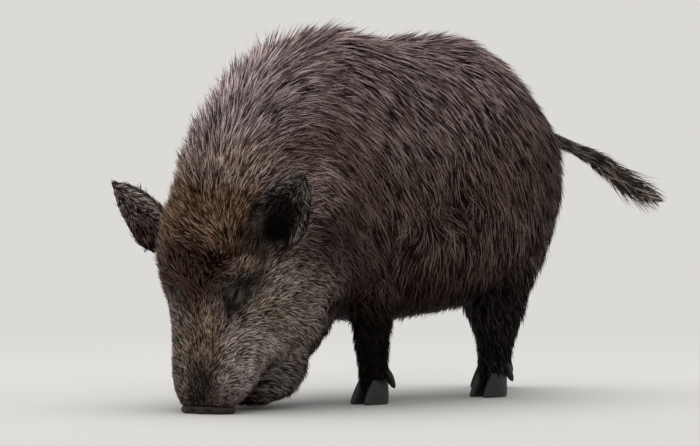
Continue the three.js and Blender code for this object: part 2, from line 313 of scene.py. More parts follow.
BODY_RIBS = (
    Rib("tailRoot", (-506, 548), (-506, 484), 34, .50, 2.00, 2.0, 0, 0,
        (6, 6, 6), (26, 26, 26), (15, 15, 15), (0, 15, 30, 40, 40)),
    Rib("rump", (-484, 600), (-484, 370), 106, .50, 2.00, 2.1, 0, 0,
        (12, 12, 9), (42, 42, 34), (17, 16, 14), (40, 84, 92, 92, 70)),
    Rib("ham", (-440, 668), (-436, 285), 162, .48, 1.90, 2.2, 0, 0,
        (14, 13, 10), (48, 46, 36), (18, 15, 14), (45, 88, 94, 94, 70)),
    Rib("hip", (-365, 738), (-360, 225), 205, .46, 1.85, 2.3, 0, 0,
        (16, 14, 10), (52, 50, 38), (18, 15, 14), (45, 86, 92, 90, 62)),
    Rib("loin", (-268, 796), (-260, 202), 232, .46, 1.85, 2.3, 0, 0,
        (18, 15, 10), (55, 52, 38), (18, 15, 14), (45, 82, 88, 88, 56)),
    Rib("flank", (-140, 795), (-130, 185), 245, .46, 1.90, 2.3, 0, 0,
        (20, 16, 11), (58, 54, 40), (18, 15, 14), (45, 80, 86, 86, 52)),
    Rib("barrel", (0, 797), (5, 178), 246, .46, 1.90, 2.3, 0, 0,
        (22, 17, 11), (60, 55, 42), (20, 15, 14), (44, 78, 84, 84, 50)),
    Rib("withers", (112, 818), (100, 182), 238, .46, 1.80, 2.2, 0, 0,
        (30, 18, 12), (62, 56, 42), (20, 16, 14), (40, 74, 80, 82, 50)),
    Rib("shoulder", (222, 790), (185, 186), 230, .45, 1.80, 2.1, 0, 0,
        (34, 18, 12), (66, 56, 42), (25, 16, 14), (32, 68, 74, 78, 46)),
    Rib("crest", (320, 745), (238, 184), 216, .44, 1.80, 2.2, 6, 4,
        (36, 18, 12), (74, 54, 42), (36, 16, 14), (22, 58, 70, 74, 42)),
    Rib("neck", (410, 680), (244, 170), 205, .42, 1.80, 2.5, 18, 8,
        (38, 17, 12), (76, 50, 40), (42, 16, 14), (10, 46, 66, 72, 40)),
    Rib("nape", (480, 594), (234, 152), 194, .42, 1.85, 2.7, 34, 12,
        (34, 15, 10), (66, 44, 36), (44, 17, 14), (0, 34, 64, 76, 40)),
    Rib("poll", (522, 505), (222, 136), 186, .43, 1.95, 2.8, 48, 15,
        (22, 12, 9), (38, 34, 32), (46, 20, 14), (0, 24, 62, 88, 50)),
    Rib("forehead", (548, 416), (216, 122), 174, .44, 2.10, 2.8, 62, 18,
        (16, 9, 8), (27, 26, 28), (56, 28, 15), (0, 15, 60, 98, 80)),
    Rib("brow", (561, 335), (214, 106), 160, .46, 2.30, 2.6, 78, 19,
        (14, 8, 7), (27, 24, 26), (60, 30, 15), (0, 12, 62, 108, 100)),
    Rib("eyes", (565, 268), (236, 92), 138, .47, 2.40, 2.4, 91, 20,
        (8, 6, 6), (17, 20, 26), (28, 16, 15), (0, 25, 80, 112, 110)),
    Rib("cheek", (570, 200), (296, 84), 118, .50, 2.50, 2.2, 100, 20,
        (5, 5, 6), (14, 18, 26), (18, 15, 15), (5, 50, 98, 112, 110)),
    Rib("lips", (575, 132), (412, 80), 97, .50, 2.70, 2.2, 102, 20,
        (4, 4, 5), (12, 16, 20), (16, 15, 15), (8, 60, 96, 104, 110)),
    Rib("muzzle", (580, 65), (450, 42), 87, .50, 2.70, 2.2, 104, 20,
        (3, 3.5, 4), (9, 12, 14), (16, 15, 15), (10, 60, 90, 96, 100)),
    Rib("noseRim", (580, 15), (500, 15), 62, .50, 2.20, 2.2, 104, 20,
        (1.5, 1.5, 1.5), (5, 6, 6), (12, 12, 12), (20, 50, 80, 90, 90)),
)
JAW_RIBS = (
    Rib("hinge", (440, 172), (248, 92), 118, .5, 2.2, 2.1, 56, 20,
        (7, 7, 7), (28, 28, 28), (16, 16, 16), (80, 90, 105, 112, 112)),
    Rib("jowl", (442, 126), (262, 58), 114, .5, 2.2, 2.1, 56, 20,
        (6, 6, 6), (28, 28, 28), (18, 18, 18), (80, 90, 105, 112, 112)),
    Rib("jawMid", (442, 70), (312, 26), 98, .5, 2.2, 2.1, 60, 20,
        (5, 5, 5), (24, 24, 24), (20, 20, 20), (80, 90, 105, 112, 112)),
    Rib("chin", (450, 26), (384, 8), 60, .5, 2.0, 2.0, 64, 20,
        (3, 3, 3), (14, 14, 14), (16, 16, 16), (80, 90, 105, 112, 112)),
)


@dataclass(frozen=True)
class Station:
    """One level ring of a leg in mm: its height, its share of the way from the foot to the joint inside the
    body, how far ahead of that line it lies, half its size fore and aft and across, and its coat's depth and
    length."""

    up: float
    reach: float
    bend: float
    deep: float
    wide: float
    coat: float
    hair: float


FORE_STATIONS = (
    Station(430, 1, 0, 98, 66, 10, 34),
    Station(330, .72, 0, 90, 64, 9, 32),
    Station(240, .4, -10, 66, 52, 8, 28),
    Station(185, .2, -8, 52, 42, 7, 24),
    Station(130, .08, -2, 43, 36, 5, 19),
    Station(80, 0, -2, 36, 33, 4, 15),
    Station(44, 0, -2, 31, 33, 3, 18),
)
HIND_STATIONS = (
    Station(470, 1, 0, 90, 70, 10, 36),
    Station(380, .8, 0, 100, 76, 9, 34),
    Station(300, .5, -4, 95, 68, 9, 32),
    Station(225, .24, -10, 78, 55, 8, 28),
    Station(175, .12, -10, 68, 48, 7, 25),
    Station(140, .08, -10, 53, 41, 6, 21),
    Station(105, .05, -10, 43, 36, 5, 17),
    Station(75, .02, -8, 40, 35, 4, 14),
    Station(44, 0, -2, 32, 33, 3, 18),
)
# The tail in mm: left, ahead and up, half its bone's thickness, and its hair's length and lift in degrees.
TAIL_STATIONS = (
    (0, -470, 556, 13, 24, 14),
    (8, -545, 566, 11, 24, 14),
    (16, -584, 559, 9.5, 24, 14),
    (35, -615, 541, 8.5, 30, 16),
    (60, -654, 519, 7.5, 60, 17),
    (72, -678, 500, 6.5, 74, 19),
    (87, -706, 477, 5.5, 80, 18),
    (106, -748, 449, 4.5, 52, 14),
    (121, -783, 431, 3, 20, 8),
    (128, -800, 422, 1.5, 6, 4),
)


class Surface:
    """A closed shape given as a function of s, along it, and turn, the angle round it in radians."""

    last: float = 1.0
    lie: int = 1  # +1 where the hair runs towards the far end, -1 towards the first
    steps: tuple[int, int] = (64, 64)

    def point(self, s: Array, turn: Array) -> Array:
        """Gives the outline at the tips of the coat, in metres."""
        raise NotImplementedError

    def coat(self, s: Array, turn: Array) -> Array:
        """Gives the coat's depth in mm, which is nothing unless the surface says so."""
        return np.zeros(len(s))

    def hair(self, s: Array, turn: Array) -> Array:
        """Gives the hair's length in mm."""
        raise NotImplementedError

    def lift(self, s: Array, turn: Array) -> Array:
        """Gives how far the hair stands off the skin, in radians: 16 degrees unless the surface says so."""
        return np.full(len(s), math.radians(16))

    def comb(self, s: Array, turn: Array) -> Array:
        """Gives the angle in radians from the hair's own way along the surface towards the way round it."""
        return np.zeros(len(s))

    def tone(self, s: Array, turn: Array) -> Array:
        """Gives how much paler than its surroundings the hair is, from 0 to 1."""
        return np.zeros(len(s))

    def side(self, turn: Array) -> Array:
        """Gives the sign of turn that runs from the crest down to the belly."""
        return np.where(np.cos(turn) > 0, -1.0, 1.0)

    def axes(self, s: Array, turn: Array) -> tuple[Array, Array, Array]:
        """Gives the surface's own axes by differences over a small step each way.

        Args:
            s: places along it.
            turn: angles round it.

        Returns:
            The change of place for one unit of s and for one radian, and the outward normal.
        """
        lo, hi = np.clip(s - STEP, 0, self.last), np.clip(s + STEP, 0, self.last)
        along = (self.point(hi, turn) - self.point(lo, turn)) / (hi - lo)[:, None]
        around = (self.point(s, turn + STEP) - self.point(s, turn - STEP)) / (2 * STEP)
        normal = unit(np.cross(along, around))
        opposite = self.point(s, turn + math.pi)
        inwards = np.sum(normal * (self.point(s, turn) - opposite), axis=1) < 0
        normal[inwards] *= -1
        return along, around, normal

    def skin(self, s: Array, turn: Array) -> Array:
        """Gives the skin: the outline sunk along its normal by the coat's depth."""
        return self.point(s, turn) - self.axes(s, turn)[2] * (self.coat(s, turn) * MM)[:, None]

    def body(self) -> tuple[Array, list[Array]]:
        """Builds the closed mesh of the skin on an even grid of its two parameters.

        Returns:
            The points, and the arrays of faces.
        """
        s = np.linspace(0, self.last, self.steps[0])
        grid = np.stack(np.meshgrid(s, circle(self.steps[1]), indexing="ij"), -1).reshape(-1, 2)
        points = self.skin(grid[:, 0], grid[:, 1]).reshape(*self.steps, 3)
        return shell(points)


@dataclass
class RibSurface(Surface):
    """A surface through ribs.

    Each rib is a superellipse: its share of the height is the level plus the sine of the angle raised to 2
    over the roundness, its width is the cosine raised likewise, and the whole is turned about its top. steps
    is the rings and the places round each ring of its mesh. crest is how many times faster than its length
    the hair's lift changes from the crest down, and spine the share of the way down over which the comb sets
    in.
    """

    ribs: tuple[Rib, ...]
    steps: tuple[int, int]
    lie: int = -1
    crest: float = 2.2
    spine: float = 0.06

    def __post_init__(self) -> None:
        """Keeps the ribs' numbers as tables."""
        self.last = len(self.ribs) - 1.0
        sizes = [(*r.top, *r.bottom, r.half, r.level, r.crown, r.keel, r.side, r.turn) for r in self.ribs]
        self.sizes = np.array(sizes, float)
        worn = ("coat", "hair", "lift", "comb")
        self.tables = {k: np.array([getattr(r, k) for r in self.ribs], float) for k in worn}

    def named(self, name: str) -> Array:
        """Gives the place along the surface of the rib of that name."""
        return np.array([float([r.name for r in self.ribs].index(name))])

    def rib(self, s: Array, outwards: Array | float, back: Array | float, up: Array | float) -> Array:
        """Gives points in the plane of a rib, which is turned about its top.

        Args:
            s: the place along the surface.
            outwards: mm across the plane, to the left.
            back: mm back from the rib's top.
            up: mm above the ground.

        Returns:
            The points in metres.
        """
        row = through(self.sizes, s)
        side, turn = row[:, 8], np.radians(row[:, 9])
        return place(
            side + outwards * np.cos(turn) - back * np.sin(turn),
            row[:, 0] - outwards * np.sin(turn) - back * np.cos(turn),
            up,
        )

    def point(self, s: Array, turn: Array) -> Array:
        """Gives the outline, by the formula in the class's own words.

        Args:
            s: places along it.
            turn: angles round it.

        Returns:
            The points in metres.
        """
        top_f, top_z, low_f, low_z, half, level, crown, keel, _, _ = through(self.sizes, s).T
        upper = np.sin(turn) >= 0
        power = 2 / np.where(upper, crown, keel)
        share = level + squared(np.sin(turn), power) * np.where(upper, 1 - level, level)
        out = half * squared(np.cos(turn), power)
        return self.rib(s, out, (1 - share) * (top_f - low_f), low_z + share * (top_z - low_z))

    def share(self, turn: Array) -> Array:
        """Gives the way from the crest, 0, to the belly, 1, on either side."""
        return np.abs((turn - math.pi / 2 + math.pi) % (2 * math.pi) - math.pi) / math.pi

    def coat(self, s: Array, turn: Array) -> Array:
        """Gives the coat's depth in mm, from the ribs."""
        return spread(self.tables["coat"], s, self.share(turn))

    def hair(self, s: Array, turn: Array) -> Array:
        """Gives the hair's length in mm, from the ribs."""
        return spread(self.tables["hair"], s, self.share(turn))

    def lift(self, s: Array, turn: Array) -> Array:
        """Gives the hair's lift, from the ribs, with the crest's kept to a narrow band."""
        return np.radians(spread(self.tables["lift"], s, np.minimum(self.share(turn) * self.crest, 1)))

    def comb(self, s: Array, turn: Array) -> Array:
        """Gives the hair's lie, from the ribs, straight back along the spine itself."""
        share = self.share(turn)
        return np.radians(spread(self.tables["comb"], s, share)) * np.minimum(share / self.spine, 1)


@dataclass
class LegSurface(Surface):
    """A leg: level ellipses whose middles run from the foot to a joint in the body. Turn 90 is its front.

    stations are its rings from the top down, and foot and joint are mm to the left and ahead.
    """

    stations: tuple[Station, ...]
    foot: Pair
    joint: Pair
    steps: tuple[int, int] = (72, 40)

    def __post_init__(self) -> None:
        """Keeps the stations' numbers as a table."""
        self.last = len(self.stations) - 1.0
        sizes = [(t.up, t.reach, t.bend, t.deep, t.wide, t.coat, t.hair) for t in self.stations]
        self.sizes = np.array(sizes, float)

    def point(self, s: Array, turn: Array) -> Array:
        """Gives each ring's middle, plus half its width by the cosine and half its depth by the sine.

        Args:
            s: places along it.
            turn: angles round it.

        Returns:
            The points in metres.
        """
        up, reach, bend, deep, wide, _, _ = through(self.sizes, s).T
        return place(
            self.foot[0] + reach * (self.joint[0] - self.foot[0]) + wide * np.cos(turn),
            self.foot[1] + reach * (self.joint[1] - self.foot[1]) + bend + deep * np.sin(turn),
            up,
        )

    def coat(self, s: Array, turn: Array) -> Array:
        """Gives the coat's depth in mm, from the stations."""
        return through(self.sizes, s)[:, 5]

    def hair(self, s: Array, turn: Array) -> Array:
        """Gives the hair's length in mm, from the stations."""
        return through(self.sizes, s)[:, 6]

    def comb(self, s: Array, turn: Array) -> Array:
        """Gives the hair's lie: down the leg and a little towards its back."""
        return np.full(len(s), math.radians(14))


@dataclass
class TailSurface(Surface):
    """The tail: rings square to a curved line. Its skin is the tailbone alone, and its brush is hair."""

    stations: tuple[tuple[float, ...], ...] = TAIL_STATIONS
    steps: tuple[int, int] = (72, 24)

    def __post_init__(self) -> None:
        """Keeps the stations' numbers as a table."""
        self.table = np.array(self.stations, float)
        self.last = len(self.table) - 1.0

    def point(self, s: Array, turn: Array) -> Array:
        """Gives the tailbone: the line plus its thickness, across by the cosine and upwards by the sine.

        Args:
            s: places along it.
            turn: angles round it.

        Returns:
            The points in metres.
        """
        row = through(self.table, s)
        before = through(self.table, np.maximum(s - 0.1, 0))[:, :3]
        after = through(self.table, np.minimum(s + 0.1, self.last))[:, :3]
        along = unit((after - before) * (1, -1, 1))
        across = unit(np.cross(along, (0, 0, 1)))
        rise = np.cross(across, along)
        thick = row[:, 3:4] * MM
        square = across * np.cos(turn)[:, None] + rise * np.sin(turn)[:, None]
        return place(row[:, 0], row[:, 1], row[:, 2]) + thick * square

    def hair(self, s: Array, turn: Array) -> Array:
        """Gives the hair's length in mm, from the stations."""
        return np.maximum(through(self.table, s)[:, 4], 6)

    def lift(self, s: Array, turn: Array) -> Array:
        """Gives the hair's lift: all of it above and below, and 0.4 of it at the sides, for a flat brush."""
        return np.radians(through(self.table, s)[:, 5]) * (0.4 + 0.6 * np.abs(np.sin(turn)))


@dataclass
class EarSurface(Surface):
    """An ear: a cupped leaf. Turn 0 to 180 is its back and 180 to 360 its hollow, with the rims at 0 and 180.

    Across it, u is minus the cosine of the turn. Each section is an arc of a circle, wrapped each way by the
    degrees of wrap, first at the root and then from two thirds of its length on, and most of the wall's
    thickness lies on the hollow's side.

    base and tip are mm outwards, back and up from the top of face's forehead, and facing is the way that the
    hollow opens, outwards and forwards. width is mm across at its widest, and outline the share of it from
    the root to the tip. wall is mm of thickness at the root, twice that of the tip, and curl the mm that the
    tip bends out of line.
    """

    face: RibSurface
    base: Triple
    tip: Triple
    facing: Pair
    width: float
    wrap: Pair = (102.0, 46.0)
    wall: float = 6.5
    curl: float = 10.0
    outline: tuple[float, ...] = (0.78, 1.0, 1.06, 0.98, 0.8, 0.54, 0.12)
    steps: tuple[int, int] = (48, 56)

    def __post_init__(self) -> None:
        """Sets the ear on the side of the head."""
        self.last = len(self.outline) - 1.0
        face, facing = self.face, self.facing
        s = face.named("forehead")
        start, end = face.rib(s, *self.base)[0], face.rib(s, *self.tip)[0]
        opening = (face.rib(s, facing[0], -facing[1], 0.0) - face.rib(s, 0.0, 0.0, 0.0))[0]
        self.start, self.axis = start, end - start
        along = unit(self.axis)
        self.across = unit(np.cross(opening, along))
        self.hollow = np.cross(along, self.across)

    def point(self, s: Array, turn: Array) -> Array:
        """Gives the leaf, by the formula in the class's own words.

        Args:
            s: places along it.
            turn: angles round it.

        Returns:
            The points in metres.
        """
        share = through(np.array(self.outline)[:, None], s)[:, 0]
        t, u = s / self.last, -np.cos(turn)
        half = self.width / 2 * share
        root, tip = np.radians(self.wrap)
        wrap = root + (tip - root) * np.clip(t * 1.5, 0, 1)
        radius = half / np.sin(np.minimum(wrap, math.pi / 2))
        wall = self.wall * (1 - 0.5 * t) * np.abs(np.sin(turn)) ** 0.5
        wall = wall * np.where(np.sin(turn) > 0, -0.15, 0.85)
        across = (radius - wall) * np.sin(wrap * u)
        out = -(radius - wall) * (np.cos(wrap * u) - np.cos(wrap)) + self.curl * t**3
        flat = self.start + self.axis * t[:, None] + self.across * (across * MM)[:, None]
        return flat + self.hollow * (out * MM)[:, None]

    def axes(self, s: Array, turn: Array) -> tuple[Array, Array, Array]:
        """Gives the leaf's own axes, with the normal away from its back or out of its hollow.

        Args:
            s: places along it.
            turn: angles round it.

        Returns:
            The change of place for one unit of s and for one radian, and the outward normal.
        """
        along, around, normal = super().axes(s, turn)
        wrong = np.sum(normal * self.hollow, axis=1) * np.where(np.sin(turn) > 0, -1, 1) < 0
        normal[wrong & (np.abs(np.sin(turn)) > 0.3)] *= -1
        return along, around, normal

    def hair(self, s: Array, turn: Array) -> Array:
        """Gives the hair's length in mm: short on the back, and longer at the root and the rims."""
        rim = 1 - np.abs(np.sin(turn))
        return 12 + 10 * rim**3 + 12 * np.clip(1 - s / 1.5, 0, 1)

    def lift(self, s: Array, turn: Array) -> Array:
        """Gives the hair's lift, most at the rims."""
        return np.radians(12 + 22 * (1 - np.abs(np.sin(turn))) ** 2 + np.where(np.sin(turn) < 0, 8, 0))

    def tone(self, s: Array, turn: Array) -> Array:
        """Gives the pale fringe along the rims and the tip, and the hair in the hollow darkened as painted
        shade.
        """
        rim = (1 - np.abs(np.sin(turn))) ** 2
        # the last term is painted shade: the hollow's hair is darkened by 0.2
        return 0.2 * rim + 0.1 * (s / self.last) ** 2 - 0.2 * (np.sin(turn) < -0.3)


# ---- Finishes ----


def linear(colour: str) -> tuple[float, float, float, float]:
    """Turns an sRGB hex colour into linear red, green, blue and alpha."""
    parts = [int(colour[i : i + 2], 16) / 255 for i in (1, 3, 5)]
    return (*(c / 12.92 if c <= 0.04045 else ((c + 0.055) / 1.055) ** 2.4 for c in parts), 1.0)


def node(
    tree: bpy.types.NodeTree, kind: str, inputs: dict | None = None, **settings: object
) -> bpy.types.Node:
    """Adds a shader node.

    Args:
        tree: the material's, group's or sky's tree.
        kind: the node's type name, after ShaderNode.
        inputs: for each input's name or number, a value, or the socket it is linked from, or a node whose
            first output it is linked from.
        **settings: the node's own settings.

    Returns:
        The node.
    """
    made = tree.nodes.new(f"ShaderNode{kind}")
    for key, value in settings.items():
        setattr(made, key, value)
    for key, value in (inputs or {}).items():
        if isinstance(value, bpy.types.Node):
            value = value.outputs[0]
        if isinstance(value, bpy.types.NodeSocket):
            tree.links.new(value, made.inputs[key])
        else:
            made.inputs[key].default_value = value
    return made


@dataclass(frozen=True)
class Patch:
    """A patch of another colour on the skin and coat: a soft-edged ellipsoid.

    centre is mm to the left, ahead and up, radii are its half sizes the same way, soft is the share of its
    size over which it fades, and strength how much of its colour it has in its middle.
    """

    name: str
    colour: str
    centre: Triple
    radii: Triple
    soft: float = 0.35
    strength: float = 1.0


@dataclass(frozen=True)
class Markings:
    """The animal's colours by place, the same for skin and coat, with painted shade in a few hollows and
    under
    the brow and a painted sheen on the back: a ground colour with soft patches laid over it.

    The patches' edges wander by up to sway metres either way, as noise with a cell every 11 cm.
    """

    ground: str = "#5a433a"
    cells: float = 9.0
    sway: float = 0.05
    patches: tuple[Patch, ...] = (
        # greyer hair on the back, and a painted sheen of the light from above
        Patch("greyer back with painted sheen", "#806865", (0, 0, 800), (330, 640, 230), 0.5),
        Patch("dark belly", "#3a1f11", (0, -60, 170), (300, 520, 150), 0.5),
        Patch("dark ham", "#41322d", (0, -430, 360), (260, 190, 260), 0.4),
        Patch("grey mane", "#917d7c", (20, 430, 700), (150, 190, 130), 0.5),
        Patch("upper flank", "#7a645f", (220, 20, 610), (80, 190, 100), 0.6, 0.4),
        Patch("nape lock", "#5a4a45", (120, 414, 662), (50, 60, 40), 0.6, 0.6),
        Patch("behind the ear", "#8d766f", (215, 340, 475), (44, 80, 66), 0.6, 0.8),
        Patch("flank lock", "#33261f", (244, -24, 405), (40, 50, 24), 0.6, 0.6),
        Patch("girth lock", "#33221c", (240, 135, 346), (40, 50, 34), 0.6, 0.6),
        Patch("chest", "#35231f", (60, 260, 250), (230, 120, 200), 0.5),
        Patch("forehead", "#694b31", (70, 540, 410), (150, 150, 120), 0.4),
        Patch("fore nape", "#887164", (110, 470, 533), (140, 100, 44), 0.6, 0.85),
        Patch("cheek", "#877468", (190, 400, 210), (120, 170, 130), 0.4),
        Patch("far side", "#7d7064", (62, 590, 150), (26, 60, 90), 0.5),
        Patch("far cheek", "#7a685a", (10, 480, 180), (60, 200, 160), 0.4),
        Patch("neck fold", "#412f2a", (222, 318, 305), (52, 66, 84), 0.55, 0.8),
        Patch("muzzle", "#96847d", (190, 500, 110), (80, 130, 80), 0.4),
        Patch("bridge", "#78614b", (104, 590, 150), (46, 60, 110), 0.35),
        Patch("nose whorl", "#322921", (110, 590, 66), (34, 50, 52), 0.5, 0.85),
        # the brow dome's dark hair, with painted shadow along the lower edge of its overhang
        Patch("dark brow", "#452c1d", (50, 582, 298), (112, 90, 68), 0.4),
        Patch("ear root", "#291c12", (162, 482, 372), (38, 56, 64), 0.6, 0.9),
        Patch("temple", "#7d6c50", (185, 440, 225), (30, 40, 34), 0.6, 0.5),
        Patch("behind the eye", "#2b2119", (182, 486, 284), (27, 34, 36), 0.6, 0.9),
        Patch("cheek whorl", "#554c49", (195, 413, 177), (26, 40, 15), 0.6, 0.8),
        Patch("left brow ridge", "#75604a", (168, 502, 320), (26, 26, 18), 0.5),
        # painted shadow that the brow's overhang casts above the eye
        Patch("painted shadow under the brow", "#2c221b", (160, 506, 277), (26, 26, 12), 0.7, 0.8),
        Patch("eye socket", "#2d261d", (156, 520, 245), (34, 38, 38), 0.5),
        Patch("tear fold", "#241d19", (155, 537, 216), (9, 10, 20), 0.6),
        Patch("jaw", "#71645b", (150, 380, 80), (80, 66, 60), 0.4),
        # painted shadow in the gap of the mouth, between the lips and the jaw
        Patch("mouth", "#1d1512", (160, 462, 30), (60, 26, 40), 0.5),
        Patch("left ear", "#6e635c", (205, 420, 440), (62, 62, 84), 0.3),
        # painted shade over the hollow of the near ear
        Patch("painted shade inside the left ear", "#2b2420", (192, 428, 425), (40, 44, 36), 0.5),
        # painted shade, almost black, deep in the near ear's conch
        Patch("painted shade in the left conch", "#040302", (184, 430, 391), (33, 40, 35), 0.4),
        Patch("right ear", "#98857c", (-140, 510, 480), (90, 90, 80), 0.3),
        Patch("fore left leg", "#170d09", (115, 100, 70), (90, 130, 165), 0.35),
        Patch("fore right leg", "#170d09", (-105, 280, 70), (90, 130, 165), 0.35),
        Patch("hind left leg", "#291f21", (115, -280, 70), (100, 140, 230), 0.4),
        Patch("hind right leg", "#291f21", (-110, -480, 70), (100, 140, 230), 0.4),
        Patch("tail", "#554f4a", (30, -620, 540), (60, 110, 60), 0.4),
        Patch("tail brush", "#6f6257", (105, -740, 455), (60, 100, 80), 0.5),
    )

    def group(self) -> bpy.types.NodeTree:
        """Builds the colours as a node group with one output.

        Returns:
            The group, made once and used by every skin and coat material.
        """
        if "boar markings with painted shade and sheen" in bpy.data.node_groups:
            return bpy.data.node_groups["boar markings with painted shade and sheen"]
        tree = bpy.data.node_groups.new("boar markings with painted shade and sheen", "ShaderNodeTree")
        tree.interface.new_socket("Color", in_out="OUTPUT", socket_type="NodeSocketColor")
        coords = node(tree, "TexCoord").outputs["Object"]
        noise = node(tree, "TexNoise", {"Vector": coords, "Scale": self.cells, "Detail": 2.0})
        shift = node(tree, "VectorMath", {0: noise.outputs["Color"], 1: (0.5,) * 3}, operation="SUBTRACT")
        moved = {0: shift, 1: (self.sway,) * 3, 2: coords}
        warped = node(tree, "VectorMath", moved, operation="MULTIPLY_ADD")
        colour = linear(self.ground)
        for patch in self.patches:
            scale = 1 / (np.array(patch.radii) * MM)
            offset = -place(*patch.centre) * scale
            inside = {0: warped, 1: tuple(scale), 2: tuple(offset)}
            inside = node(tree, "VectorMath", inside, operation="MULTIPLY_ADD")
            far = node(tree, "VectorMath", {0: inside}, operation="LENGTH").outputs["Value"]
            edges = {0: far, 1: 1 + patch.soft, 2: 1 - patch.soft, 4: patch.strength}
            share = node(tree, "MapRange", edges, interpolation_type="SMOOTHSTEP")
            colours = {0: share, 6: colour, 7: linear(patch.colour)}
            colour = node(tree, "Mix", colours, data_type="RGBA").outputs[2]
        tree.links.new(colour, tree.nodes.new("NodeGroupOutput").inputs[0])
        return tree


@dataclass(frozen=True)
class Finish:
    """A finish: the real material's name, its roughness, how strongly it shines, and its IOR."""

    name: str = ""
    roughness: float = 0.5
    gloss: float = 0.5
    ior: float = 1.5

    def look(self, tree: bpy.types.NodeTree) -> dict[str, object]:
        """Adds the nodes of its colour and grain, and gives what the shader's inputs are linked from.

        Args:
            tree: the material's tree.

        Returns:
            What the shader's inputs are linked from, by their names.
        """
        raise NotImplementedError

    def material(self) -> bpy.types.Material:
        """Builds the finish.

        Returns:
            The material.
        """
        material = bpy.data.materials.new(self.name)
        material.use_nodes = True
        tree = material.node_tree
        tree.nodes.clear()
        sheen = {"Roughness": self.roughness, "Specular IOR Level": self.gloss, "IOR": self.ior}
        shader = node(tree, "BsdfPrincipled", sheen | self.look(tree))
        node(tree, "OutputMaterial", {"Surface": shader})
        return material


@dataclass(frozen=True)
class Bristle(Finish):
    """Boar bristle: coarse keratin hairs drawn into damp locks. Each lock has its own shade, darker at the
    root, partly its own colour and partly painted shade deep in the coat, with fine lengthwise lines and a
    soft gloss, and the palest are the least brown."""

    name: str = "damp boar bristle"
    gloss: float = 0.08
    ior: float = 1.55
    markings: Markings = Markings()
    dark: float = 0.03
    light: float = 3.3

    def look(self, tree: bpy.types.NodeTree) -> dict[str, object]:
        """Adds the nodes, which read each lock's strand attribute: places across and along it, and its tint.

        Args:
            tree: the material's tree.

        Returns:
            What the shader's inputs are linked from, by their names.
        """
        strand = node(tree, "Attribute", attribute_name="strand", attribute_type="GEOMETRY").outputs["Vector"]
        parts = node(tree, "SeparateXYZ", {0: strand}).outputs
        steep = node(tree, "Math", {0: parts["Z"], 1: 1.4}, operation="POWER")
        tint = node(tree, "MapRange", {0: steep, 3: self.dark, 4: self.light})
        # darker towards the root: partly the hair's own colour and partly painted shade deep in the coat
        root = node(tree, "MapRange", {0: parts["Y"], 2: 0.75, 3: 0.12, 4: 1.2})
        fine = node(tree, "VectorMath", {0: strand, 1: (7.0, 1.6, 90.0)}, operation="MULTIPLY")
        lines = node(tree, "TexNoise", {"Vector": fine, "Scale": 1.0, "Detail": 1.0})
        line = node(tree, "MapRange", {0: lines, 1: 0.3, 2: 0.7, 3: 0.82, 4: 1.18})
        shade = node(tree, "Math", {0: tint, 1: root}, operation="MULTIPLY")
        shade = node(tree, "Math", {0: shade, 1: line}, operation="MULTIPLY")
        fade = node(tree, "MapRange", {0: parts["Z"], 1: 0.25, 2: 0.85, 3: 1.2, 4: 0.62})
        group = node(tree, "Group", node_tree=self.markings.group())
        toned = node(tree, "HueSaturation", {"Saturation": fade, "Color": group})
        colour = node(tree, "VectorMath", {0: toned, "Scale": shade}, operation="SCALE")
        bump = node(tree, "Bump", {"Height": lines, "Strength": 0.35, "Distance": 0.0006})
        return {"Base Color": colour, "Normal": bump}


@dataclass(frozen=True)
class Hide(Finish):
    """Boar hide under the coat: thick skin with a felt of short woolly hair, which shows as an uneven nap
    between the locks and as bare skin in the ears. Its colour is the markings darkened to between 0.07 and
    0.2 of themselves, as painted shade between the locks and deep in the coat. It is mottled every 10 mm,
    with a nap of 2 mm."""

    name: str = "boar hide with woolly underhair in painted shade"
    roughness: float = 0.7
    gloss: float = 0.06
    markings: Markings = Markings()
    mottle: float = 100.0
    nap: float = 480.0

    def look(self, tree: bpy.types.NodeTree) -> dict[str, object]:
        """Adds the nodes: the markings darkened as painted shade, unevenly by the mottling, and the nap as
        relief.

        Args:
            tree: the material's tree.

        Returns:
            What the shader's inputs are linked from, by their names.
        """
        coords = node(tree, "TexCoord").outputs["Object"]
        group = node(tree, "Group", node_tree=self.markings.group())
        mottle = node(tree, "TexNoise", {"Vector": coords, "Scale": self.mottle, "Detail": 3.0})
        nap = node(tree, "TexNoise", {"Vector": coords, "Scale": self.nap, "Detail": 2.0})
        # painted shade: the markings darkened to between 0.07 and 0.2 of themselves, varied by the mottling
        shade = node(tree, "MapRange", {0: mottle, 1: 0.3, 2: 0.7, 3: 0.07, 4: 0.2})
        colour = node(tree, "VectorMath", {0: group, "Scale": shade}, operation="SCALE")
        bump = node(tree, "Bump", {"Height": nap, "Strength": 0.6, "Distance": 0.0015})
        return {"Base Color": colour, "Normal": bump}


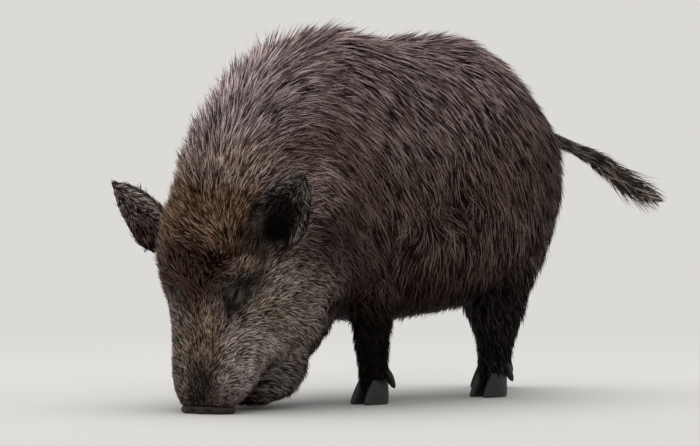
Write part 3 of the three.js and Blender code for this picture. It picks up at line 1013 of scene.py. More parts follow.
@dataclass(frozen=True)
class Horn(Finish):
    """Claw horn: keratin grown in rings about 8 mm apart, worn pale and scratched below edge metres."""

    name: str = "grown claw horn"
    roughness: float = 0.45
    colour: str = "#141211"
    worn: str = "#3b352f"
    edge: float = 0.012
    rings: float = 40.0
    scratches: float = 160.0

    def look(self, tree: bpy.types.NodeTree) -> dict[str, object]:
        """Adds the nodes: growth rings level with the ground, and the worn edge broken up by noise.

        Args:
            tree: the material's tree.

        Returns:
            What the shader's inputs are linked from, by their names.
        """
        coords = node(tree, "TexCoord").outputs["Object"]
        height = node(tree, "SeparateXYZ", {0: coords}).outputs["Z"]
        waves = {"Vector": coords, "Scale": self.rings, "Distortion": 5.0, "Detail": 3.0}
        rings = node(tree, "TexWave", waves, bands_direction="Z").outputs["Fac"]
        dirt = node(tree, "TexNoise", {"Vector": coords, "Scale": self.scratches, "Detail": 4.0})
        low = node(tree, "MapRange", {0: height, 1: self.edge, 2: 0.0, 4: 0.7})
        wear = node(tree, "Math", {0: low, 1: dirt}, operation="MULTIPLY")
        colours = {0: wear, 6: linear(self.colour), 7: linear(self.worn)}
        colour = node(tree, "Mix", colours, data_type="RGBA").outputs[2]
        bump = node(tree, "Bump", {"Height": rings, "Strength": 0.3, "Distance": 0.0006})
        return {"Base Color": colour, "Normal": bump}


@dataclass(frozen=True)
class Rhinarium(Finish):
    """The bare skin of the snout disc: dark, partly its own colour and partly painted shade, damp and
    pebbled, with cells 2.5 mm across and a paler mottling every 15 mm."""

    name: str = "damp snout skin"
    gloss: float = 0.3
    # dark: partly the skin's own colour and partly painted shade
    colour: str = "#221a17"
    pale: str = "#382c27"
    pebbles: float = 400.0
    mottle: float = 66.0

    def look(self, tree: bpy.types.NodeTree) -> dict[str, object]:
        """Adds the nodes: pebbles as the inverse of the way to each cell's middle, and the mottling.

        Args:
            tree: the material's tree.

        Returns:
            What the shader's inputs are linked from, by their names.
        """
        coords = node(tree, "TexCoord").outputs["Object"]
        cells = node(tree, "TexVoronoi", {"Vector": coords, "Scale": self.pebbles}, feature="SMOOTH_F1")
        mottle = node(tree, "TexNoise", {"Vector": coords, "Scale": self.mottle, "Detail": 3.0})
        share = node(tree, "MapRange", {0: mottle, 1: 0.4, 2: 0.7})
        colours = {0: share, 6: linear(self.colour), 7: linear(self.pale)}
        colour = node(tree, "Mix", colours, data_type="RGBA").outputs[2]
        bump = node(tree, "Bump", {"Height": cells, "Strength": 0.5, "Distance": 0.0008}, invert=True)
        return {"Base Color": colour, "Normal": bump}


@dataclass(frozen=True)
class WetEye(Finish):
    """A boar's eye: a dark brown iris, streaked every 1.4 mm, that shows almost black under its tear film,
    with a clear wet gloss."""

    name: str = "wet brown eye"
    roughness: float = 0.1
    gloss: float = 0.12
    ior: float = 1.38
    iris: str = "#2a170c"
    pupil: str = "#050403"
    streaks: float = 700.0

    def look(self, tree: bpy.types.NodeTree) -> dict[str, object]:
        """Adds the nodes: brown with streaks, and black near the middle by the eyeball's look attribute.

        Args:
            tree: the material's tree.

        Returns:
            What the shader's inputs are linked from, by their names.
        """
        look = node(tree, "Attribute", attribute_name="look", attribute_type="GEOMETRY").outputs["Fac"]
        coords = node(tree, "TexCoord").outputs["Object"]
        streaks = node(tree, "TexNoise", {"Vector": coords, "Scale": self.streaks, "Detail": 2.0})
        ring = node(tree, "MapRange", {0: look, 1: 0.3, 2: 0.5})
        share = node(tree, "Math", {0: ring, 1: streaks}, operation="MULTIPLY")
        colours = {0: share, 6: linear(self.pupil), 7: linear(self.iris)}
        return {"Base Color": node(tree, "Mix", colours, data_type="RGBA").outputs[2]}


@dataclass(frozen=True)
class LidSkin(Finish):
    """Bare eyelid skin: grey, finely wrinkled and mottled every 4 mm, a little greasy, and black along the
    edge of the slit."""

    name: str = "bare eyelid skin"
    roughness: float = 0.6
    gloss: float = 0.25
    colour: str = "#4f4843"
    edge: str = "#050403"
    grain: float = 260.0

    def look(self, tree: bpy.types.NodeTree) -> dict[str, object]:
        """Adds the nodes: mottled grey, darker towards the coat, and black where look is near the slit.

        Args:
            tree: the material's tree.

        Returns:
            What the shader's inputs are linked from, by their names.
        """
        look = node(tree, "Attribute", attribute_name="look", attribute_type="GEOMETRY").outputs["Fac"]
        coords = node(tree, "TexCoord").outputs["Object"]
        grain = node(tree, "TexNoise", {"Vector": coords, "Scale": self.grain, "Detail": 3.0})
        mottle = node(tree, "MapRange", {0: grain, 1: 0.3, 2: 0.7, 3: 0.5, 4: 1.2})
        rim = node(tree, "MapRange", {0: look, 1: 0.3, 2: 0.75, 3: 1.0, 4: 0.45})
        bare = node(tree, "VectorMath", {0: linear(self.colour)[:3], "Scale": mottle}, operation="SCALE")
        faded = node(tree, "VectorMath", {0: bare, "Scale": rim}, operation="SCALE")
        reach = node(tree, "MapRange", {0: look, 1: 0.05, 2: 0.27}, interpolation_type="SMOOTHSTEP")
        colours = {0: reach, 6: linear(self.edge), 7: faded}
        colour = node(tree, "Mix", colours, data_type="RGBA").outputs[2]
        bump = node(tree, "Bump", {"Height": grain, "Strength": 0.7, "Distance": 0.001})
        return {"Base Color": colour, "Normal": bump}


@dataclass(frozen=True)
class FloorPaint(Finish):
    """Plain floor paint, rolled on and matt."""

    name: str = "plain painted floor"
    roughness: float = 0.9
    pale: str = "#dcdad6"

    def look(self, tree: bpy.types.NodeTree) -> dict[str, object]:
        """Gives the one plain colour."""
        return {"Base Color": linear(self.pale)}


# ---- The skin ----


@dataclass(frozen=True)
class Crease:
    """A fold pressed into the skin along a line of points in mm, or raised where depth is negative."""

    name: str
    line: tuple[Triple, ...]
    width: float
    depth: float

    def push(self, points: Array) -> Array:
        """Gives how far out each point moves: less depth times a bell of its distance from the line.

        Args:
            points: the skin's points in metres.

        Returns:
            Metres outwards for each point.
        """
        line = place(*np.array(self.line, float).T)
        away = np.full(len(points), np.inf)
        for a, b in zip(line[:-1], line[1:]):
            ab = b - a
            t = np.clip((points - a) @ ab / (ab @ ab), 0, 1)
            away = np.minimum(away, np.linalg.norm(points - a - t[:, None] * ab, axis=1))
        return -self.depth * MM * np.exp(-((away / (self.width * MM)) ** 2))


@dataclass
class Flesh:
    """The whole animal's skin: every surface sunk by its coat's depth, joined, smoothed and creased.

    The thin ears join it last, with their roots inside the head. voxel is the mm between its points, and
    rounds is how often it is smoothed. Where the frame's y is above behind or its x below beyond, in metres,
    thinned is the share of its faces that stay, as the coat covers them.
    """

    body: RibSurface
    parts: dict[str, Surface]
    ears: dict[str, Surface]
    creases: tuple[Crease, ...] = (
        Crease("left brow", ((120, 566, 300), (150, 545, 292), (176, 512, 284)), 14, -5),
        Crease("left eye socket", ((158, 517, 262), (157, 524, 244)), 18, 5),
        Crease("left tear fold", ((155, 534, 230), (156, 540, 210)), 5, 3.5),
        Crease("right brow", ((52, 566, 300), (16, 562, 292), (-14, 548, 284)), 14, -5),
        Crease("mouth corner", ((170, 470, 62), (150, 430, 74), (130, 400, 92)), 8, 5),
    )
    voxel: float = 4.0
    rounds: int = 6
    behind: float = -0.46
    beyond: float = -0.28
    thinned: float = 0.45

    def build(self) -> bpy.types.Object:
        """Joins the surfaces' shells by voxels, smooths and thins them, and presses the creases.

        Returns:
            The skin.
        """
        points, faces, count = [], {3: [], 4: []}, 0
        for surface in (self.body, *self.parts.values()):
            verts, polygons = surface.body()
            points.append(verts)
            for p in polygons:
                faces[p.shape[1]].append(p + count)
            count += len(verts)
        skin = mesh_object("skin", np.vstack(points), [np.concatenate(f) for f in faces.values()])
        self.apply(skin, "REMESH", mode="VOXEL", voxel_size=self.voxel * MM, use_smooth_shade=True)
        self.apply(skin, "SMOOTH", factor=0.5, iterations=self.rounds)
        coords = points_of(skin.data)
        group = skin.vertex_groups.new(name="plain")
        plain = np.nonzero((coords[:, 1] > self.behind) | (coords[:, 0] < self.beyond))[0]
        group.add(plain.tolist(), 1.0, "REPLACE")
        self.apply(skin, "DECIMATE", ratio=self.thinned, vertex_group="plain")
        skin.vertex_groups.clear()
        self.press(skin)
        leaves = [mesh_object(name, *ear.body()) for name, ear in self.ears.items()]
        with bpy.context.temp_override(active_object=skin, selected_editable_objects=[skin, *leaves]):
            bpy.ops.object.join()
        return skin

    def apply(self, skin: bpy.types.Object, kind: str, **settings: object) -> None:
        """Adds a modifier and makes its result the mesh.

        Args:
            skin: the object.
            kind: the modifier's type.
            **settings: its settings.
        """
        modifier = skin.modifiers.new(kind.lower(), kind)
        for key, value in settings.items():
            setattr(modifier, key, value)
        made = bpy.data.meshes.new_from_object(skin.evaluated_get(bpy.context.evaluated_depsgraph_get()))
        skin.modifiers.clear()
        old, skin.data = skin.data, made
        bpy.data.meshes.remove(old)
        made.name = skin.name

    def press(self, skin: bpy.types.Object) -> None:
        """Moves the skin's points along their normals by the sum of the creases.

        Args:
            skin: the skin.
        """
        coords = points_of(skin.data)
        normals = np.empty(coords.size, dtype=np.float32)
        skin.data.vertices.foreach_get("normal", normals)
        push = sum(crease.push(coords) for crease in self.creases)
        coords += normals.reshape(-1, 3) * push[:, None]
        skin.data.vertices.foreach_set("co", coords.astype(np.float32).ravel())
        skin.data.polygons.foreach_set("use_smooth", np.full(len(skin.data.polygons), True))
        skin.data.update()


# ---- The coat ----

ROOT_REACH = 0.009  # metres between a root's place on its surface and the skin, beyond which none grows
ROOT_DEPTH = 0.0012  # metres that a root lies below the skin
GROUND_CLEAR = 0.004  # metres above the ground below which no tuft grows
SWING_CELLS = (70.0, 22.0)  # mm across the broad and the narrow swings of the coat's lie
LIFT_CELL = 30.0  # mm across the patches of coat that stand higher or lie closer
RUFFLE_CELL = 40.0  # mm across the locks of a ruffled place
LOCK_CELL = 16.0  # mm across the locks into which neighbouring tufts are drawn
SHADE_CELL = 12.0  # mm across the patches of one shade
USUAL_LENGTH = 0.045  # metres of a tuft that has the coat's own width


@dataclass(frozen=True)
class Bare:
    """A place in mm where no tufts grow, with its radius."""

    centre: Triple
    radius: float


BARE_PLACES = (Bare((157, 524, 249), 16), Bare((155, 537, 224), 6), Bare((19, 574, 249), 11))


@dataclass(frozen=True)
class Ruffle:
    """A place in mm where the coat is ruffled: in its middle the lie turns from tailwards to downwards by
    turn degrees, and by up to twist degrees either way at random."""

    centre: Triple
    radius: float
    twist: float
    turn: float = 0.0


RUFFLES = (
    Ruffle((240, -25, 450), 85, 160),
    Ruffle((243, 75, 365), 55, 110),
    Ruffle((236, 205, 312), 62, 20, -52),
    Ruffle((66, 570, 318), 84, 190),
    Ruffle((195, 413, 180), 34, 50),
)


def spikes(
    name: str, line: Array, normals: Array, size: Array, roll: Array
) -> tuple[bpy.types.Object, list[Array], int]:
    """Builds closed three-sided spikes along middle lines of three points.

    A ring has two low corners half its width to either side of the line and a ridge 0.8 of that above it. The
    width is 1 and then 0.86 of the spike's size, and the last point of the line is the tip.

    Args:
        name: the piece's name.
        line: spikes by points along each by x, y, z.
        normals: the way up from the skin at the same points.
        size: each spike's width in metres.
        roll: each spike's turn about its own line, in radians.

    Returns:
        The object, its arrays of faces, and the number of points in one spike.
    """
    n = len(line)
    ahead = unit(np.gradient(line, axis=1))
    across = unit(np.cross(ahead, normals))
    above = unit(np.cross(across, ahead))
    cos, sin = np.cos(roll)[:, None, None], np.sin(roll)[:, None, None]
    across, above = across * cos + above * sin, above * cos - across * sin
    profile = np.array([1.0, 0.86])[None, :, None] * size[:, None, None] / 2
    middle, across, above = line[:, :TUFT_RINGS], across[:, :TUFT_RINGS], above[:, :TUFT_RINGS]
    low, high = (middle - across * profile, middle + across * profile), middle + above * profile * 0.8
    corners = np.stack((*low, high), axis=2)
    verts = np.concatenate((corners.reshape(n, -1, 3), line[:, -1:]), axis=1)
    per = verts.shape[1]
    tip, base = per - 1, 3 * (TUFT_RINGS - 1)
    pairs = ((0, 1), (1, 2), (2, 0))
    rings = range(0, base, 3)
    quads = [(ring + b, ring + a, ring + 3 + a, ring + 3 + b) for ring in rings for a, b in pairs]
    tris = [(base + b, base + a, tip) for a, b in pairs] + [(0, 1, 2)]
    starts = (np.arange(n) * per)[:, None, None]
    faces = [(starts + np.array(p)).reshape(-1, len(p[0])) for p in (quads, tris)]
    return mesh_object(name, verts.reshape(-1, 3), faces), faces, per


@dataclass
class Coat:
    """Tufts over one run of a surface.

    Each tuft walks along the surface by the comb's angle in two steps, rises from the skin by its lift, and
    is a closed three-sided spike that narrows to its tip. reach and sweep are the run's limits of s and of
    turn in degrees. jitter and wander are degrees of its lie, each tuft's own and the swing it shares with
    its neighbours, and clump is the mm by which neighbours are drawn into locks. A share of the tufts, pale,
    are the bleached and thinner guard hairs that lie over the dark ones, and tones are the tints of the dark
    and the pale. width is mm, stretch lengthens the surface's hair, and cells is the grid of s and turn over
    which the roots are scattered, with a spare share more than are needed.
    """

    name: str
    zone: Zone
    surface: Surface
    count: int
    reach: Pair
    sweep: Pair
    seed: int
    width: float = 2.45
    jitter: float = 5.5
    wander: float = 10.0
    clump: float = 7.0
    pale: float = 0.42
    stretch: float = 1.3
    tones: Pair = (0.12, 0.88)
    cells: tuple[int, int] = (120, 90)
    spare: float = 1.25

    def __post_init__(self) -> None:
        """Sets the two noises that neighbouring tufts share."""
        self.broad, self.fine = Grain(self.seed + 1, 2), Grain(self.seed + 2, 3)

    def roots(self, rng: np.random.Generator) -> tuple[Array, Array]:
        """Scatters the roots over the run by its area, and thinner where the hair is longer.

        More are drawn than the run needs, by the spare share, as some are left out later.

        Args:
            rng: the seeded source of chance.

        Returns:
            s and turn of each root.
        """
        (n, m), (s0, s1) = self.cells, self.reach
        t0, t1 = np.radians(self.sweep)
        s = s0 + (np.arange(n) + 0.5) / n * (s1 - s0)
        t = t0 + (np.arange(m) + 0.5) / m * (t1 - t0)
        grid = np.stack(np.meshgrid(s, t, indexing="ij"), -1).reshape(-1, 2)
        along, around, _ = self.surface.axes(grid[:, 0], grid[:, 1])
        area = np.linalg.norm(np.cross(along, around), axis=1)
        crowd = area / self.surface.hair(grid[:, 0], grid[:, 1]) ** 0.75
        cell = rng.choice(len(grid), int(self.count * self.spare), p=crowd / crowd.sum())
        jitter = rng.uniform(-0.5, 0.5, (len(cell), 2)) * ((s1 - s0) / n, (t1 - t0) / m)
        return grid[cell, 0] + jitter[:, 0], grid[cell, 1] + jitter[:, 1]

    def settle(
        self, s: Array, turn: Array, skin: BVHTree, rng: np.random.Generator
    ) -> tuple[Array, Array, Array, Array]:
        """Drops the roots onto the skin and leaves out those in bare places, off the skin or near the ground.

        Args:
            s: the roots' places along the surface.
            turn: the roots' angles round it.
            skin: the skin.
            rng: the seeded source of chance.

        Returns:
            s, turn, the place on the skin and the skin's normal there, for each root that stays.
        """
        start = self.surface.skin(s, turn)
        found = [skin.find_nearest(p) for p in start]
        on = np.array([f[0] for f in found], float)
        keep = np.linalg.norm(on - start, axis=1) < ROOT_REACH
        for bare in BARE_PLACES:
            keep &= distance(on, bare.centre) > bare.radius * MM * rng.uniform(0.8, 1.1, len(on))
        keep &= on[:, 2] > GROUND_CLEAR
        keep = np.nonzero(keep)[0][: self.count]
        return s[keep], turn[keep], on[keep], np.array([found[k][1] for k in keep], float)

    def lay(
        self, s: Array, turn: Array, on: Array, rng: np.random.Generator
    ) -> tuple[Array, Array, Array, Array]:
        """Sets how each tuft lies: the surface's own comb, lift and length, each varied by noise and by
        chance.

        A ruffle turns the lie by a bell of the distance from its middle, and beside a bare place the hair
        shortens to a third.

        Args:
            s: the roots' places along the surface.
            turn: the roots' angles round it.
            on: the roots' places on the skin.
            rng: the seeded source of chance.

        Returns:
            Each tuft's lie and lift in radians, its length in metres, and whether it is pale.
        """
        surface, n = self.surface, len(s)
        broad, narrow = (self.broad.at(on, cell) for cell in SWING_CELLS)
        swing = broad[:, 0] * 0.6 + narrow[:, 1]
        angle = surface.comb(s, turn) + np.radians(self.wander) * swing
        angle = angle + np.radians(rng.normal(0, self.jitter, n))
        rise = surface.lift(s, turn) * (1 + 0.35 * self.fine.at(on, LIFT_CELL)[:, 0])
        rise = rise + np.radians(rng.normal(0, 3.0, n))
        for ruffle in RUFFLES:
            near = np.exp(-((distance(on, ruffle.centre) / (ruffle.radius * MM)) ** 2))
            angle += near * np.radians(ruffle.turn + ruffle.twist * self.fine.at(on, RUFFLE_CELL)[:, 1])
            rise = rise * (1 + 0.15 * near)
        length = surface.hair(s, turn) * self.stretch * MM * rng.uniform(0.7, 1.22, n)
        for bare in BARE_PLACES:
            edge = distance(on, bare.centre) / (bare.radius * MM)
            length = length * (0.32 + 0.68 * np.clip((edge - 0.9) / 1.2, 0, 1))
        pale = rng.random(n) < self.pale
        lying = surface.lift(s, turn) * 1.35 + 0.05
        return angle, np.minimum(rise, lying) + np.where(pale, math.radians(2.0), 0), length, pale

    def walk(self, s: Array, turn: Array, skin: BVHTree, rng: np.random.Generator) -> dict[str, Array]:
        """Walks each tuft's middle line over the skin.

        A step goes on along the surface by the cosine of its rise and up from the skin by the sine, and the
        rise is 1.25 of the lift at first and 0.3 less at the next step. Tufts that tear or fold are left out.

        Args:
            s: the roots' places along the surface.
            turn: the roots' angles round it.
            skin: the skin to follow.
            rng: the seeded source of chance.

        Returns:
            The line's points, their normals, the root's s and turn, the tuft's length and tint, and whether
            it is pale.
        """
        surface = self.surface
        s, turn, on, normal = self.settle(s, turn, skin, rng)
        angle, rise, length, pale = self.lay(s, turn, on, rng)
        stride = length / TUFT_RINGS
        height = np.full(len(s), -ROOT_DEPTH)
        line, normals = [on + normal * height[:, None]], [normal]
        ps, pt, side = s.copy(), turn.copy(), surface.side(turn)
        curl = np.radians(rng.normal(0, self.jitter * 0.7, len(s)))
        for ring in range(TUFT_RINGS):
            angle = angle + curl
            along, around, _ = surface.axes(ps, pt)
            bend = np.clip(rise * (1.25 - 0.3 * ring), 0.02, 1.35)
            go = stride * np.cos(bend)
            wish = ps + surface.lie * np.cos(angle) * go / np.linalg.norm(along, axis=1)
            ps = np.clip(wish, 0, surface.last)
            past = along * (wish - ps)[:, None]
            pt = pt + side * np.clip(np.sin(angle) * go / np.linalg.norm(around, axis=1), -0.4, 0.4)
            height = height + stride * np.sin(bend)
            found = [skin.find_nearest(p) for p in surface.skin(ps, pt)]
            on, normal = np.array([f[0] for f in found], float), np.array([f[1] for f in found], float)
            line.append(on + past + normal * height[:, None])
            normals.append(normal)
        line, normals = np.stack(line, 1), np.stack(normals, 1)
        steps = np.diff(line, axis=1)
        lengths = np.linalg.norm(steps, axis=2)
        sound = np.all(lengths < 1.5 * stride[:, None], axis=1)
        sound &= np.sum(steps[:, 0] * steps[:, 1], axis=1) > 0.5 * np.prod(lengths, axis=1)
        line, normals, s, turn, length, pale = (a[sound] for a in (line, normals, s, turn, length, pale))
        pull = self.fine.at(line[:, 0], LOCK_CELL) * self.clump * MM * np.minimum(length / 0.05, 1)[:, None]
        line += pull[:, None, :] * (np.linspace(0, 1, TUFT_RINGS + 1) ** 1.5)[None, :, None]
        tint = np.where(pale, self.tones[1], self.tones[0])
        tint = tint + 0.2 * self.broad.at(line[:, 0], SHADE_CELL)[:, 0]
        tint = tint + rng.normal(0, 0.12, len(s)) + surface.tone(s, turn)
        return {
            "line": line,
            "normals": normals,
            "s": s,
            "turn": turn,
            "length": length,
            "tint": np.clip(tint, 0, 1),
            "pale": pale,
        }

    def grow(self, skin: BVHTree, finish: bpy.types.Material) -> bpy.types.Object:
        """Builds the run's tufts as one mesh.

        Args:
            skin: the skin they stand on.
            finish: their material.

        Returns:
            The piece, with its strand attribute and its OFBake map.
        """
        rng = np.random.default_rng(self.seed)
        walked = self.walk(*self.roots(rng), skin, rng)
        line, normals, n = walked["line"], walked["normals"], len(walked["s"])
        size = self.width * MM * np.sqrt(np.minimum(walked["length"] / USUAL_LENGTH, 1.6))
        size = size * rng.uniform(0.6, 1.35, n) * np.where(walked["pale"], 0.75, 1.12)
        piece, faces, per = spikes(self.name, line, normals, size, rng.normal(0, 0.45, n))
        self.mark(piece, walked, faces, per)
        piece.data.materials.append(finish)
        return piece

    def mark(self, piece: bpy.types.Object, walked: dict[str, Array], faces: list[Array], per: int) -> None:
        """Adds the strand attribute and the map.

        The strand attribute is the place across the tuft, the place along it, and its tint. The map puts each
        tuft at its root's s and turn, spread over the unit square, as a patch of its own across and along.

        Args:
            piece: the tufts.
            walked: what the walk gave.
            faces: the piece's faces.
            per: points in one tuft.
        """
        n = len(walked["s"])
        across = np.append(np.tile([0.0, 1.0, 0.5], TUFT_RINGS), 0.5)
        along = np.append(np.repeat(np.arange(TUFT_RINGS), 3), TUFT_RINGS) / TUFT_RINGS
        strand = np.stack((np.tile(across, n), np.tile(along, n), np.repeat(walked["tint"], per)), -1)
        note(piece, "strand", strand)
        t0, t1 = np.radians(self.sweep)
        u = 0.005 + 0.99 * (walked["s"] - self.reach[0]) / (self.reach[1] - self.reach[0])
        v = 0.005 + 0.99 * (walked["turn"] - t0) / (t1 - t0)
        root = np.repeat(np.stack((u, v), -1), per, axis=0)
        places = np.clip(root + (strand[:, :2] - 0.5) * PATCH, 0.001, 0.999)
        corners = np.concatenate([f.ravel() for f in faces])
        layer = piece.data.uv_layers.new(name="OFBake")
        layer.data.foreach_set("uv", places[corners].astype(np.float32).ravel())


# ---- Eyes and snout ----


@dataclass
class Eye:
    """One eye: a ball deep in its socket, with thick, folded lids that all but close over it.

    along and angle are its place on the body, s and degrees of turn. proud is the mm that the ball passes the
    skin, half_slit and half_gap are the slit's half sizes, outer the half sizes of the lids, and lid their
    thickness, blended into the skin over blend mm.
    """

    body: RibSurface
    side: Side
    radius: float = 12.2
    along: float = 15.1
    angle: float = 61.0
    proud: float = 2.0
    half_slit: float = 14.0
    half_gap: float = 2.2
    outer: Pair = (32.0, 26.0)
    lid: float = 1.3
    blend: float = 1.3

    def spot(self) -> tuple[Array, Array]:
        """Finds the eye on the outline.

        Returns:
            Its place there, and the way out of it.
        """
        angle = self.angle if self.side is Side.LEFT else 180 - self.angle
        s, turn = np.array([self.along]), np.radians([angle])
        return self.body.point(s, turn)[0], self.body.axes(s, turn)[2][0]

    def seat(self, skin: BVHTree) -> tuple[Array, Array, Array, Array]:
        """Gives the ball's middle, the way out, the slit's way up to the outer corner, and the way across it.

        Args:
            skin: the skin, which the ball's front passes by a few mm.

        Returns:
            The four vectors.
        """
        start, out = self.spot()
        ground = np.array(skin.ray_cast(start + out * 0.03, -out)[0])
        slit = unit(np.array([0.0, 0.5, 1.0]) - out * np.dot([0.0, 0.5, 1.0], out))
        return ground + out * (self.proud - self.radius) * MM, out, slit, np.cross(out, slit)

    def ball(self, skin: BVHTree, finish: bpy.types.Material) -> bpy.types.Object:
        """Builds the ball: a sphere by its two angles, bulged by 6 per cent round the way out for the cornea.

        Args:
            skin: the skin it sits in.
            finish: its material.

        Returns:
            The piece, with the angle from the way out in its look attribute.
        """
        centre, out, slit, across = self.seat(skin)
        p, r = np.meshgrid(np.linspace(0.02, math.pi - 0.02, 25), circle(40), indexing="ij")
        size = self.radius * MM * (1 + 0.06 * np.exp(-((p / 0.6) ** 2)))
        aside = np.cos(r)[..., None] * slit + np.sin(r)[..., None] * across
        way = np.cos(p)[..., None] * out + np.sin(p)[..., None] * aside
        points, faces = shell(centre + way * size[..., None])
        piece = mesh_object(f"eye_ball_{self.side.name.lower()}", points, faces)
        note(piece, "look", np.append(p.ravel(), (0, math.pi)))
        piece.data.materials.append(finish)
        return piece

    def lids(self, skin: BVHTree, finish: bpy.types.Material) -> bpy.types.Object:
        """Builds the lids: rings from the edge of the slit, over the ball, out to the skin of the socket.

        The slit is an almond, and a ring's share r runs outwards from its edge to an ellipse. The height in
        mm is the smooth larger one of the ball's and the skin's, plus a rolled edge near the slit, plus
        shallow folds that follow the lids as sines of r, and the last ring sinks into the skin.

        Args:
            skin: the skin that the outer ring sinks into.
            finish: their material.

        Returns:
            The piece, with r in its look attribute.
        """
        centre, out, slit, across = self.seat(skin)
        share, angles = np.linspace(0, 1, 30), circle(84)
        r, t = np.meshgrid(share, angles, indexing="ij")
        x = (self.half_slit * (1 - r) + self.outer[0] * r) * np.cos(t)
        y = self.half_gap * np.sin(t) * np.abs(np.sin(t)) ** 0.3 * (1 - r) + self.outer[1] * np.sin(t) * r
        flat = centre + (slit * x[..., None] + across * y[..., None]) * MM
        above = (flat + out * 0.04).reshape(-1, 3)
        hits = [skin.ray_cast(p, -out)[0] or skin.find_nearest(p)[0] for p in above]
        ground = (np.array(hits).reshape(flat.shape) - flat) @ out / MM
        dome = np.sqrt(np.maximum((self.radius + self.lid) ** 2 - x**2 - y**2, 0))
        high = self.blend * np.logaddexp(dome / self.blend, (ground + 0.6) / self.blend)
        upper = np.sin(t) * (1 if self.side is Side.LEFT else -1)
        roll = (0.9 + 0.8 * upper) * np.exp(-(((r - 0.2) / 0.16) ** 2))
        folds = (0.3 + 0.2 * upper) * np.sin(r * 6.5 * math.pi + 1.6 * np.sin(2 * t))
        folds = folds * (1 - r) * np.abs(upper)
        high = high + np.where(r < 0.04, 0.0, roll + folds) - 3.5 * r**14
        points = flat + out * (high * MM)[..., None]
        lip = points[:1] - out * 0.002 - (points[:1] - centre) * 0.08
        verts, faces = shell(np.concatenate((lip, points)), capped=False)
        piece = mesh_object(f"eye_lids_{self.side.name.lower()}", verts, faces)
        note(piece, "look", np.repeat(np.append(0, share), len(angles)))
        piece.data.materials.append(finish)
        return piece

    def lashes(self, skin: BVHTree, finish: bpy.types.Material, count: int = 14) -> bpy.types.Object:
        """Builds the upper lashes: thin spikes from the edge of the upper lid that curve out over the slit.

        Args:
            skin: the skin the eye sits in.
            finish: their material.
            count: how many there are.

        Returns:
            The piece.
        """
        centre, out, slit, across = self.seat(skin)
        rng = np.random.default_rng(60)
        t = np.linspace(0.12, 0.88, count) * math.pi + rng.normal(0, 0.04, count)
        over = 1.0 if self.side is Side.LEFT else -1.0
        x, y = self.half_slit * 1.05 * np.cos(t), over * (self.half_gap + 1.4) * np.sin(t)
        height = np.sqrt(np.maximum((self.radius + 2.4) ** 2 - x**2 - y**2, 4))
        root = centre + (slit * x[:, None] + across * y[:, None] + out * height[:, None]) * MM
        k = np.linspace(0, 1, TUFT_RINGS + 1)[None, :, None]
        long = (rng.uniform(9, 14, count) * MM)[:, None, None]
        aside = slit * (0.5 * np.cos(t) - 0.3 + rng.normal(0, 0.1, count))[:, None]
        line = root[:, None] + (out * k - across * over * 0.55 * k**2 + aside[:, None] * k) * long
        normals = np.broadcast_to(out, line.shape)
        side = self.side.name.lower()
        piece = spikes(f"eye_lashes_{side}", line, normals, np.full(count, 0.6 * MM), np.zeros(count))[0]
        piece.data.materials.append(finish)
        return piece


@dataclass
class SnoutDisc:
    """The flat disc of the snout on the ground, with a rolled and wrinkled rim and two nostrils in its front.

    profile is the share of its reach and the mm up, from the middle of the sole out to the rim, round it, and
    back over the top. wrinkle is the rim's wrinkles, as a share of its reach. A nostril's middle lies aside
    and up by nostril mm, its half sizes are hole, and it is pressed in by depth.
    """

    body: RibSurface
    profile: tuple[Pair, ...] = (
        (0.02, 0),
        (0.5, 0),
        (0.86, 0),
        (0.94, 1.2),
        (0.985, 4),
        (1.0, 8),
        (0.985, 12),
        (0.95, 15),
        (0.88, 17),
        (0.6, 18),
        (0.02, 18),
    )
    wrinkle: float = 0.012
    nostril: Pair = (18.0, 5.0)
    hole: Pair = (8.0, 6.0)
    depth: float = 9.0

    def build(self, finish: bpy.types.Material) -> bpy.types.Object:
        """Builds the disc: a profile turned about the middle, stretched to the end rib, with two nostrils.

        The rim moves in and out by sines of the angle for its wrinkles, and each nostril is a bell-shaped
        hollow.

        Args:
            finish: its material.

        Returns:
            The piece.
        """
        s = self.body.named("noseRim")
        top_f, _, low_f, _, half, *_ = self.body.sizes[-1]
        deep = (top_f - low_f) / 2
        middle = self.body.rib(s, 0.0, deep, 0.0)[0]
        ahead = unit(self.body.rib(s, 0.0, 0.0, 0.0)[0] - middle)
        left = unit(self.body.rib(s, 1.0, deep, 0.0)[0] - middle)
        rows = through(np.array(self.profile), np.linspace(0, len(self.profile) - 1, 61))
        t = circle(160)
        reach, up = rows[:, :1] + 0 * t, rows[:, 1:] + 0 * t
        rim = np.exp(-(((rows[:, 1:] - 8) / 4) ** 2)) * (rows[:, :1] > 0.9)
        reach = reach + self.wrinkle * np.sin(23 * t) * rim
        x, y = reach * np.cos(t) * half, reach * np.sin(t) * deep
        points = middle + (left * x[..., None] + ahead * y[..., None]) * MM
        points[..., 2] += np.maximum(up, 0) * MM
        for sign in (-1, 1):
            aside = (x - sign * self.nostril[0]) / self.hole[0]
            bell = np.exp(-(aside**2) - ((up - self.nostril[1]) / self.hole[1]) ** 2) * (y > 0)
            points -= ahead * (self.depth * bell * MM)[..., None]
        verts, faces = shell(points)
        piece = mesh_object("snout_pad", verts, faces)
        piece.data.materials.append(finish)
        return piece


